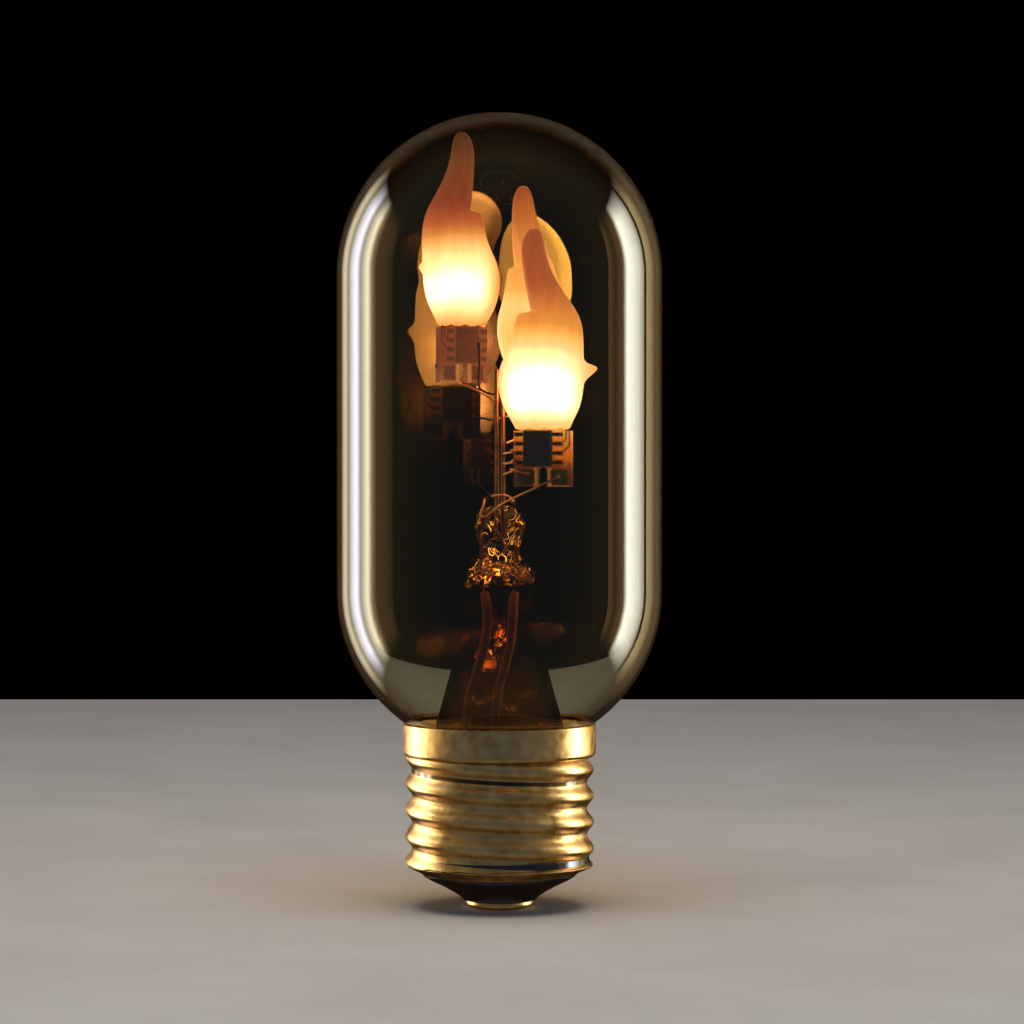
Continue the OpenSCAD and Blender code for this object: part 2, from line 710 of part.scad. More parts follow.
module neutral_wire() {
    wedge = (neck_r + shell_r) / 2;
    low = part_foot + choke_h + 1.2;
    turn = 20;
    color("#c88a3a")
    wire(smooth([[4.2, supply_back + wire_r + touch, low],
        [6.5, 2, low + 0.1], [10.5, 3.6, low + 0.3],
        [wedge * cos(turn), wedge * sin(turn), neck_end],
        [wedge * cos(turn), wedge * sin(turn), -0.4]], 3));
}

glass_envelope();
glass_stem();
exhaust_tube();
screw_shell();
neck_cement();
cap_insulator();
centre_contact();
contact_solder();
rod(ROD_LEFT, rod_left_top);  // rod_left
rod(ROD_RIGHT, rod_right_top);  // rod_right
cross_link();
lead_wire(-1, LEAD_LEFT);  // lead_wire_left
lead_wire(1, LEAD_RIGHT);  // lead_wire_right
lead_sleeving(LEAD_LEFT);  // lead_sleeving_left
lead_sleeving(LEAD_RIGHT);  // lead_sleeving_right
place(FRONT) board();  // front_board
place(FRONT) leds();  // front_leds
board_chip(FRONT);  // front_chip
board_chip_pins(FRONT);  // front_chip_pins
place(FRONT) solder_joints();  // front_solder
flame(FRONT);  // front_flame
front_feed_wire();
front_links();
place(LEFT) board();  // left_board
place(LEFT) leds();  // left_leds
board_chip(LEFT);  // left_chip
board_chip_pins(LEFT);  // left_chip_pins
place(LEFT) solder_joints();  // left_solder
flame(LEFT);  // left_flame
left_feed_wire();
left_links();
place(REAR) board();  // rear_board
place(REAR) leds();  // rear_leds
board_chip(REAR);  // rear_chip
board_chip_pins(REAR);  // rear_chip_pins
place(REAR) solder_joints();  // rear_solder
flame(REAR);  // rear_flame
rear_feed_wire();
rear_links();
supply_board();
bridge_rectifier();
supply_chip();
supply_chip_pins();
smoothing_capacitor();
choke();
fusible_resistor();
live_wire();
neutral_wire();
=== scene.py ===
"""Flame lamp: a tubular glass bulb on an E27 cap, with three LED boards under soft flame sleeves.

Lengths in this script are in millimetres and are multiplied by MM where Blender takes them.
The lamp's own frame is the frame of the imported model: +Z from the cap to the glass top, and
the origin on the axis at the upper end of the thread.
"""

import math

import bpy
from mathutils import Matrix, Vector


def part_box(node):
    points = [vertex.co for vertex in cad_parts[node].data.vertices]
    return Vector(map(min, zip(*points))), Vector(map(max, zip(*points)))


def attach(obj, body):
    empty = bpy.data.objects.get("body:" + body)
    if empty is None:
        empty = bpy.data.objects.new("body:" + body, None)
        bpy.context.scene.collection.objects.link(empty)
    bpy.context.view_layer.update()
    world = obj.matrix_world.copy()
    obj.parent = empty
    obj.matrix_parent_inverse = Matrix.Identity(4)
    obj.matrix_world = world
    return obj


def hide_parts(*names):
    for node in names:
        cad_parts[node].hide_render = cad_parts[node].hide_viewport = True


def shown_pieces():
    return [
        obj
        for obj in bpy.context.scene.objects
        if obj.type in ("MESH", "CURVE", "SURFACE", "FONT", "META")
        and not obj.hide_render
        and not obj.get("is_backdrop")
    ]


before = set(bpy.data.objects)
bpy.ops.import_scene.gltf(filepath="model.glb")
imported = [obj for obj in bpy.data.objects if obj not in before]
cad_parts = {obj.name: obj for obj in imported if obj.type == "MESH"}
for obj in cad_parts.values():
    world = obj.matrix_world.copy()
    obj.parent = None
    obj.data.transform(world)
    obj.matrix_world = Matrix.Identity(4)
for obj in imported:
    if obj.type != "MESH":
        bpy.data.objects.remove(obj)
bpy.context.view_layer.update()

MM = 0.001
# The gap that touching pieces keep
TOUCH = 0.03

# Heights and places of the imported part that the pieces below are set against
GLASS_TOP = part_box("glass_envelope")[1].z / MM
BULB_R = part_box("glass_envelope")[1].x / MM
NECK_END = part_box("glass_envelope")[0].z / MM
STEM_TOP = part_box("glass_stem")[1].z / MM
FLARE_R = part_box("glass_stem")[1].x / MM
COLLAR_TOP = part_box("screw_shell")[1].z / MM
COLLAR_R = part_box("screw_shell")[1].x / MM
LIP_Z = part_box("screw_shell")[0].z / MM
TIP_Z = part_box("centre_contact")[0].z / MM

# The bulb's wall and neck, and the cap's sheet, thread and insulator
GLASS_WALL = 0.8
NECK_R = 12.2
SHELL_WALL = 0.35
THREAD_R = 13.1
THREAD_ROOT_R = 12.13
THREAD_PITCH = 3.629
THREAD_L = 15
INSULATOR_H = 3.6

# Middles of the bulb's domes: the lower one rests on the collar's inner edge
LOW_DOME_Z = COLLAR_TOP + math.sqrt(BULB_R**2 - (COLLAR_R - SHELL_WALL) ** 2) + TOUCH
HIGH_DOME_Z = GLASS_TOP - BULB_R

# Stem: the tube, its shoulder and the pinched head that the wires stand in
STEM_R = 5.1
STEM_WALL = 0.9
SHOULDER_Z = STEM_TOP - 12.2
FLARE_START = SHOULDER_Z - 3.7
CAVITY_TOP = SHOULDER_Z + 1.2
HOLLOW_TOP = SHOULDER_Z + 2.6
HEAD_R = 3.65
LEAD_X = 2.15
LEAD_TOP = STEM_TOP - HEAD_R + math.sqrt(HEAD_R**2 - LEAD_X**2) + 0.9
EXHAUST_R = 1.8
EXHAUST_L = 11

# Board units: x, y and height of the board's lower edge, turn about the upright axis in
# degrees, and how far the tip of the flame leans in x and y
UNITS = {
    "front": (5.95, -8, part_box("front_board")[0].z / MM, -10, 0, 0.3),
    "left": (-5.3, 3.6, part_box("left_board")[0].z / MM, -145, -1.1, -1.5),
    "rear": (4.6, 5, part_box("rear_board")[0].z / MM, 62, -0.7, -0.3),
}

# A board, its chip and pads, the flame over it, and the wires
BOARD_W = 8
BOARD_T = 1
BOARD_SHOW = 7.7
CHIP_X, CHIP_Z = -0.6, 2.75
CHIP_W, CHIP_L, CHIP_T, CHIP_GAP = 3.9, 4.9, 1.45, 0.1
PIN_PITCH = 1.27
PAD_X, PAD_Z, PAD_T = 2.2, 1.35, 0.25
FLAME_Z = BOARD_SHOW + TOUCH
FLAME_H, FLAME_W, FLAME_D = 27.4, 11.7, 8.4
FLAME_SIDES = 36
WIRE_R = 0.15
ROD_R = 0.3
SLEEVING_R = 0.625
ROD_LEFT = (-0.35, 0.35)
ROD_RIGHT = (0.5, -0.35)
SUPPLY_FRONT = -0.2

# Copper tracks of a board as they bend, across and up it, and the width of one
TRACKS = [((3.2, 8.6), (3.2, 6.5), (2.75, 6.0)), ((3.65, 8.6), (3.65, 5.6), (2.8, 4.75))]
TRACK_W = 0.2

# Outline of a flame, from its lower edge up: the height as a percentage of the flame's
# height, its left and right edges as percentages of its width, and half its depth as a
# percentage of its depth
FLAME_ROWS = [
    (0, -33, 32, 25), (4, -36, 34, 31), (10, -46, 42, 40), (17, -51, 46, 46),
    (22, -53, 47, 49), (25, -53, 47, 50), (28.5, -52, 47, 50), (32, -50, 47, 50),
    (35, -47, 47, 49), (38, -43, 47, 47), (45, -36, 47, 44), (51, -34.5, 46, 40),
    (55, -33, 43, 37), (57.2, -30, 41, 35.5), (57.9, -28.5, 40, 35), (58.5, -15, 39, 34),
    (59.5, -14.5, 38, 33), (64, -17, 31, 31),
    (70, -20, 21, 28), (78, -23.5, 10, 24), (88, -26, 2, 19), (94, -24.5, 1, 16),
    (98, -20, -2.5, 11), (100, -14.5, -6, 5),
]
# Heights of the hollow's rings, in the same percentage
HOLLOW_ROWS = [6, 10, 17, 25, 32, 38, 45, 48]

# Light that comes through each flame, by the way from the middle of its LEDs: mm, how many
# times brighter than the camera's white, and its colour
GLOWS = {
    "front": [
        (0, 9.7, "#ffb07c"), (3.5, 4.8, "#ffac80"), (6, 2.1, "#ffac78"), (7.5, 1.5, "#ffb05c"),
        (9, 0.99, "#ffa448"), (14.5, 0.46, "#ff8048"), (28, 0.27, "#ff8050"),
    ],
    "left": [
        (0, 6.6, "#ffa880"), (3.5, 3.2, "#ffb080"), (7.5, 0.87, "#ffa450"), (9, 0.58, "#ff8048"),
        (11.5, 0.28, "#ff7048"), (17, 0.19, "#ff8444"), (21, 0.1, "#ff9460"),
        (28, 0.07, "#ff9868"),
    ],
    "rear": [
        (0, 4, "#ffb084"), (5, 2.3, "#ffac74"), (7.5, 1.3, "#ffac54"), (13, 0.93, "#ffa054"),
        (17, 0.62, "#ff9040"), (21, 0.37, "#ff8040"), (28, 0.19, "#ff8048"),
    ],
}
# The way at which a flame's light is told of last
GLOW_REACH = 28

# The middle height of the LEDs on a board, and the hot spots that they make: across, up and how
# far each spreads
LED_Z = 13.2
LED_SPOTS = [
    (-2.6, 11.9, 1.4), (2.6, 11.8, 1.4), (-2.7, 13.9, 1.4), (2.8, 14.0, 1.4), (0, 13.3, 1.8),
    (0.2, 14.4, 1.2),
]

# Behind a flame's middle its rubber is thick up to the first of these, and thin from the second
THICK_TO, THIN_FROM = 0.8, 2.8

# The height of a board that its painted glow is measured by, and that of the stem's painted gold
# glints
LIT_H = 8.9
GLINT_REACH = 40
GLINT_STRENGTH = 8.0

# The softboxes' distance, height and size in metres, and the camera's distance in mm and the
# angle that it looks down by
SOFTBOX_AWAY, SOFTBOX_UP, SOFTBOX_SIZE = 0.5, 0.06, (0.8, 0.72)
VIEW_AWAY, VIEW_DOWN = 486, 0.87


# Modelling helpers


def begin():
    """Back in object mode with nothing selected, before a piece is started."""
    if bpy.context.object and bpy.context.object.mode != "OBJECT":
        bpy.ops.object.mode_set(mode="OBJECT")
    bpy.ops.object.select_all(action="DESELECT")


def named(name):
    """Names the piece that was just added."""
    piece = bpy.context.object
    piece.name = piece.data.name = name
    return piece


def take(piece):
    """Selects this piece alone and makes it the active one."""
    bpy.ops.object.select_all(action="DESELECT")
    piece.select_set(True)
    bpy.context.view_layer.objects.active = piece


def seat(piece):
    """Puts the piece's place, turn and size into its mesh."""
    take(piece)
    bpy.ops.object.transform_apply(location=True, rotation=True, scale=True)
    return piece


def choose(piece, kind, test):
    """Selects the vertices, edges or faces whose middle, in mm, passes the test, in edit mode."""
    if piece.mode != "EDIT":
        bpy.ops.object.mode_set(mode="EDIT")
    bpy.ops.mesh.select_mode(type=kind)
    bpy.ops.mesh.select_all(action="DESELECT")
    bpy.ops.object.mode_set(mode="OBJECT")
    mesh = piece.data
    parts = {"VERT": mesh.vertices, "EDGE": mesh.edges, "FACE": mesh.polygons}[kind]
    for part in parts:
        if kind == "VERT":
            middle = part.co
        elif kind == "EDGE":
            a, b = part.vertices
            middle = (mesh.vertices[a].co + mesh.vertices[b].co) / 2
        else:
            middle = part.center
        part.select = test(middle / MM, part)
    bpy.ops.object.mode_set(mode="EDIT")


def add_modifier(piece, kind, **settings):
    """Adds a modifier and applies it."""
    take(piece)
    modifier = piece.modifiers.new(kind.title(), kind)
    for key, value in settings.items():
        setattr(modifier, key, value)
    bpy.ops.object.modifier_apply(modifier=modifier.name)


def outward(piece):
    """Merges what lies together and turns the faces outwards."""
    bpy.context.view_layer.objects.active = piece
    bpy.ops.object.mode_set(mode="EDIT")
    bpy.ops.mesh.select_all(action="SELECT")
    bpy.ops.mesh.remove_doubles(threshold=0.00001)
    bpy.ops.mesh.normals_make_consistent(inside=False)
    bpy.ops.object.mode_set(mode="OBJECT")


def centred(rows):
    """Rings about the axis, from rows of height, half width and half depth."""
    return [(z, 0, 0, w, d) for z, w, d in rows]


def draw_on(rings):
    """Draws the selected ring, which is the first of the rings, on through the others. Each is
    height, middle x, middle y, half width and half depth, in mm."""
    for (z0, x0, y0, w0, d0), (z, x, y, w, d) in zip(rings, rings[1:]):
        step = Vector((x - x0, y - y0, z - z0)) * MM
        bpy.ops.mesh.extrude_region_move(TRANSFORM_OT_translate={"value": step})
        bpy.ops.transform.resize(
            value=(w / w0, d / d0, 1), center_override=Vector((x, y, z)) * MM
        )


def raise_rings(name, rings, sides=48, ends="NGON"):
    """A form drawn ring by ring from a circle, closed at its ends or open."""
    begin()
    z, x, y, w, d = rings[0]
    middle = Vector((x, y, z)) * MM
    bpy.ops.mesh.primitive_circle_add(
        vertices=sides, radius=w * MM, fill_type=ends, location=middle
    )
    piece = seat(named(name))
    bpy.ops.object.mode_set(mode="EDIT")
    bpy.ops.mesh.select_mode(type="FACE" if ends == "NGON" else "EDGE")
    bpy.ops.mesh.select_all(action="SELECT")
    bpy.ops.transform.resize(value=(1, d / w, 1), center_override=middle)
    draw_on(rings)
    bpy.ops.object.mode_set(mode="OBJECT")
    return piece


def round_form(name, pairs, sides, ends="NOTHING"):
    """A turned form with its faces outwards, from pairs of height and radius, in mm."""
    piece = raise_rings(name, centred((z, r, r) for z, r in pairs), sides, ends)
    outward(piece)
    return piece


def join(name, pieces):
    """Several worked pieces become one."""
    take(pieces[0])
    for piece in pieces:
        piece.select_set(True)
    bpy.ops.object.join()
    return named(name)


def wire(name, path, radius, sides=4, closed_ends=True):
    """A bent wire through the points of its path, in mm."""
    begin()
    bpy.ops.curve.primitive_bezier_curve_add()
    curve = bpy.context.object
    spline = curve.data.splines[0]
    spline.bezier_points.add(len(path) - len(spline.bezier_points))
    for point, place in zip(spline.bezier_points, path):
        point.co = Vector(place) * MM
        point.handle_left_type = point.handle_right_type = "AUTO"
    spline.resolution_u = 6
    curve.data.bevel_depth = radius * MM
    curve.data.bevel_resolution = sides
    curve.data.use_fill_caps = closed_ends
    bpy.ops.object.convert(target="MESH")
    return seat(named(name))


def bead(name, place, sizes, turn=0):
    """A rounded drop of solder or glass: a small ball squashed to its three half sizes, in mm."""
    begin()
    bpy.ops.mesh.primitive_ico_sphere_add(subdivisions=3, radius=MM, location=Vector(place) * MM)
    piece = named(name)
    piece.scale = sizes
    piece.rotation_euler.z = math.radians(turn)
    return seat(piece)


def place_unit(piece, unit):
    """Moves a piece made in a board unit's own frame to its place in the lamp."""
    x, y, z, turn = UNITS[unit][:4]
    piece.location = Vector((x, y, z)) * MM
    piece.rotation_euler.z = math.radians(turn)
    seat(piece)


def spot(unit, across, outward_by, up):
    """A point in the lamp's frame, from its place on a board: across it, outward from its face
    side and up it."""
    x, y, z, turn = UNITS[unit][:4]
    c, s = math.cos(math.radians(turn)), math.sin(math.radians(turn))
    return (x + across * c + outward_by * s, y + across * s - outward_by * c, z + up)


# Material helpers


def colour(code):
    """Linear colour of an sRGB hex value."""
    parts = [int(code[i : i + 2], 16) / 255 for i in (1, 3, 5)]
    return tuple(
        p / 12.92 if p <= 0.04045 else ((p + 0.055) / 1.055) ** 2.4 for p in parts
    ) + (1,)


def plug(tree, node, inputs):
    """Sets or links a node's inputs. A node given as a value stands for its first output."""
    for socket, value in inputs.items():
        if isinstance(value, bpy.types.Node):
            value = value.outputs[0]
        if isinstance(value, bpy.types.NodeSocket):
            tree.links.new(value, node.inputs[socket])
        else:
            node.inputs[socket].default_value = value


def add(tree, kind, inputs=None, stops=None, **settings):
    """Adds a node with its settings, and sets or links its inputs."""
    made = tree.nodes.new("ShaderNode" + kind)
    for key, value in settings.items():
        setattr(made, key, value)
    if stops:
        ramp = made.color_ramp.elements
        while len(ramp) < len(stops):
            ramp.new(1)
        for element, (position, shade) in zip(ramp, stops):
            element.position = position
            element.color = colour(shade) if isinstance(shade, str) else shade
    plug(tree, made, inputs or {})
    return made


def new_material(name):
    """A new material, its node tree and its shader."""
    material = bpy.data.materials.new(name)
    material.use_nodes = True
    tree = material.node_tree
    return material, tree, tree.nodes["Principled BSDF"]


def two_tones(tree, place, dark, light, spread, rough, noise):
    """From noise, a finish's tone, which runs from dark to light over twice the spread, and its
    roughness, which wanders between two values."""
    patches = add(tree, "TexNoise", {"Vector": place, **noise})
    tone = add(
        tree, "ValToRGB", {"Fac": patches},
        stops=[(0.5 - spread, dark), (0.5 + spread, light)],
    )
    wander = add(
        tree, "MapRange",
        {"Value": patches, "From Min": 0.3, "From Max": 0.7,
         "To Min": rough[0], "To Max": rough[1]},
    )
    return tone, wander


def mottled(name, dark, light, grain, rough, relief=0.0, metallic=0.0, **sockets):
    """A finish with two tones in patches of about grain mm, a roughness that wanders between
    two values, and a relief in mm."""
    material, tree, shader = new_material(name)
    place = add(tree, "TexCoord").outputs["Object"]
    per_grain = 1 / (grain * MM)
    noise = {"Scale": per_grain, "Detail": 4.0, "Roughness": 0.6}
    tone, wander = two_tones(tree, place, dark, light, 0.15, rough, noise)
    plug(tree, shader, {"Base Color": tone, "Roughness": wander, "Metallic": metallic})
    plug(tree, shader, {socket.replace("_", " "): value for socket, value in sockets.items()})
    if relief:
        fine = add(tree, "TexNoise", {"Vector": place, "Scale": 2.5 * per_grain, "Detail": 3.0})
        bump = add(tree, "Bump", {"Height": fine, "Strength": 0.6, "Distance": relief * MM})
        plug(tree, shader, {"Normal": bump})
    return material


def glass(name, dark, light, rim, grain, rough, haze):
    """Clear glass with faint streaks in its tint and polish. Towards its outline the eye looks
    through more of it, so its tint deepens to rim and the film of dust shows, up to haze."""
    material, tree, shader = new_material(name)
    place = add(tree, "TexCoord").outputs["Object"]
    noise = {"Scale": 1 / (grain * MM), "Detail": 2.0}
    tone, polish = two_tones(tree, place, dark, light, 0.2, rough, noise)
    facing = add(tree, "LayerWeight", {"Blend": 0.5}).outputs["Facing"]
    deep = add(tree, "MapRange", {"Value": facing, "From Min": 0.5, "From Max": 0.95})
    tint = add(tree, "Mix", {0: deep, 6: tone, 7: colour(rim)}, data_type="RGBA")
    clear = add(
        tree, "MapRange",
        {"Value": facing, "From Min": 0.64, "From Max": 1.0, "To Min": 1.0,
         "To Max": 1.0 - haze},
    )
    plug(tree, shader, {
        "Base Color": tint.outputs[2], "Roughness": polish, "Transmission Weight": clear,
        "IOR": 1.5, "Specular IOR Level": 1.0, "Specular Tint": colour("#ffeab4"),
    })
    # Lamps shine through: a shadow ray passes the piece as if it were clear
    shadow = add(tree, "LightPath").outputs["Is Shadow Ray"]
    through = add(tree, "BsdfTransparent", {"Color": colour("#f2e8cc")})
    mixed = add(tree, "MixShader", {0: shadow, 1: shader, 2: through})
    plug(tree, tree.nodes["Material Output"], {"Surface": mixed})
    return material


def painted_gold_glints(material, heights):
    """Painted glints: thin curled lines of gold emission on worked glass stand in for the light
    of the flames caught in its folds. The heights above the thread, in mm, each say how strong
    the lines are there."""
    tree = material.node_tree
    place = add(tree, "TexCoord").outputs["Object"]
    # The painted lines are about 2.6 mm apart, and show in patches of about 1.8 mm
    folds = add(
        tree, "TexNoise",
        {"Vector": place, "Scale": 380.0, "Detail": 1.0, "Distortion": 1.5},
    )
    patches = add(tree, "TexNoise", {"Vector": place, "Scale": 560.0, "Detail": 0.0})
    off = add(tree, "Math", {0: folds, 1: 0.5}, operation="SUBTRACT")
    off = add(tree, "Math", {0: off}, operation="ABSOLUTE")
    line = add(tree, "MapRange", {"Value": off, "From Min": 0.014, "From Max": 0.002})
    some = add(tree, "MapRange", {"Value": patches, "From Min": 0.53, "From Max": 0.62})
    up = add(tree, "SeparateXYZ", {"Vector": place}).outputs["Z"]
    part = add(tree, "Math", {0: up, 1: 1 / (GLINT_REACH * MM)}, operation="MULTIPLY")
    where = add(
        tree, "ValToRGB", {"Fac": part},
        stops=[(z / GLINT_REACH, shade) for z, shade in heights],
    )
    # Painted glints: the gold lines glow as emission, strongest where the heights say
    strength = line
    for share in (some, where, GLINT_STRENGTH):
        strength = add(tree, "Math", {0: strength, 1: share}, operation="MULTIPLY")
    gold = add(tree, "ValToRGB", {"Fac": line}, stops=[(0.2, "#9a4008"), (0.9, "#ffac3c")])
    shader = tree.nodes["Principled BSDF"]
    plug(tree, shader, {"Emission Color": gold, "Emission Strength": strength})


def unit_place(tree, unit):
    """Object coordinates in mm in a board unit's own frame: across, back and up from the board's
    lower edge."""
    x, y, z, turn = UNITS[unit][:4]
    back = Matrix.Rotation(math.radians(-turn), 3, "Z")
    place = add(tree, "TexCoord").outputs["Object"]
    return add(
        tree, "Mapping",
        {"Vector": place, "Location": -(back @ Vector((x, y, z))),
         "Rotation": (0, 0, math.radians(-turn)), "Scale": (1 / MM,) * 3},
    )


def flame_silicone(unit, aside, heat, behind, yellow):
    """Soft moulded silicone, milky, lit from inside: white-hot over the LEDs, then yellow,
    orange and a dull red-brown up the tongue, as thicker rubber passes less light. The light
    sits aside mm off the board's middle, and heat is its strength over the LEDs. Towards the
    lamp's back the rubber is thinner: the light comes through higher up, behind times as
    strong, and turns to yellow by that share, because less of its green is held back."""
    material, tree, shader = new_material(f"lit_silicone_{unit}")
    place = unit_place(tree, unit)
    from_leds = add(tree, "VectorMath", {0: place, 1: (aside, 0, LED_Z)}, operation="SUBTRACT")
    across, back, above = add(tree, "SeparateXYZ", {"Vector": from_leds}).outputs
    lamp_place = add(tree, "TexCoord").outputs["Object"]
    depth = add(tree, "SeparateXYZ", {"Vector": lamp_place}).outputs["Y"]
    middle = UNITS[unit][1]
    lower, gain, pale = (
        add(
            tree, "MapRange",
            {"Value": depth, "From Min": (middle + THICK_TO) * MM,
             "From Max": (middle + THIN_FROM) * MM, "To Min": thick, "To Max": thin},
        )
        for thick, thin in ((1.0, 0.5), (1.0, behind), (0.0, yellow))
    )
    # Distance from the middle of the LEDs, squarish as they are, shorter below them, and
    # leaning with the tongue
    up = add(tree, "Math", {0: above, 1: lower}, operation="MULTIPLY")
    lean = add(tree, "MapRange", {"Value": up, "From Min": 4.0, "From Max": 9.0, "To Max": 2.2})
    aslant = add(tree, "Math", {0: across, 1: lean}, operation="ADD")
    wide = add(tree, "Math", {0: aslant, 1: 1.06}, operation="MULTIPLY")
    deep = add(tree, "Math", {0: back, 1: 0.4}, operation="MULTIPLY")
    fall = add(tree, "Math", {0: up, 1: -1.3}, operation="MULTIPLY")
    high = add(tree, "Math", {0: up, 1: fall}, operation="MAXIMUM")
    reach = add(tree, "CombineXYZ", {"X": wide, "Y": deep, "Z": high})
    squared = add(tree, "VectorMath", {0: reach, 1: reach}, operation="MULTIPLY")
    fourth = add(
        tree, "VectorMath", {0: squared, 1: squared}, operation="DOT_PRODUCT"
    ).outputs["Value"]
    away = add(tree, "Math", {0: fourth, 1: 0.25}, operation="POWER")
    part = add(tree, "Math", {0: away, 1: 1 / GLOW_REACH}, operation="MULTIPLY")
    glow = add(
        tree, "ValToRGB", {"Fac": part},
        stops=[(mm / GLOW_REACH, tint) for mm, times, tint in GLOWS[unit]],
    )
    seen = add(tree, "Mix", {0: pale, 6: glow, 7: colour("#ffc878")}, data_type="RGBA")
    # A ramp holds at most 1, so the strength is a tenth in it
    bright = add(
        tree, "ValToRGB", {"Fac": part},
        stops=[(mm / GLOW_REACH, (times / 10,) * 3 + (1,)) for mm, times, tint in GLOWS[unit]],
    )
    strength = add(tree, "Math", {0: bright, 1: 10.0}, operation="MULTIPLY")
    # Each LED on the board's two faces shows through as a hot spot of its own
    flat = add(tree, "Mapping", {"Vector": place, "Scale": (1, 0.12, 1)})
    for x, z, spread in LED_SPOTS:
        led = add(
            tree, "VectorMath", {0: flat, 1: (x + aside, 0, z)}, operation="DISTANCE"
        ).outputs["Value"]
        near = add(tree, "Math", {0: led, 1: spread}, operation="DIVIDE")
        square = add(tree, "Math", {0: near, 1: 2.0}, operation="POWER")
        minus = add(tree, "Math", {0: square, 1: -1.0}, operation="MULTIPLY")
        here = add(tree, "Math", {0: minus}, operation="EXPONENT")
        strength = add(tree, "Math", {0: here, 1: heat, 2: strength}, operation="MULTIPLY_ADD")
    # Faint streaks run up the tongue, about 1.2 mm wide
    grain = add(tree, "Mapping", {"Vector": place, "Scale": (0.8, 0.8, 0.07)})
    streaks = add(
        tree, "TexNoise",
        {"Vector": grain, "Scale": 1.0, "Detail": 2.0, "Roughness": 0.5},
    )
    veil = add(
        tree, "MapRange",
        {"Value": streaks, "From Min": 0.3, "From Max": 0.7, "To Min": 0.92, "To Max": 1.06},
    )
    for share in (veil, gain):
        strength = add(tree, "Math", {0: strength, 1: share}, operation="MULTIPLY")
    skin = add(tree, "ValToRGB", {"Fac": streaks}, stops=[(0.3, "#3c2416"), (0.7, "#4c3020")])
    bump = add(tree, "Bump", {"Height": streaks, "Strength": 0.2, "Distance": 0.3 * MM})
    plug(tree, shader, {
        "Base Color": skin, "Emission Color": seen.outputs[2], "Emission Strength": strength,
        "Normal": bump, "Roughness": 0.55, "IOR": 1.41,
    })
    return material


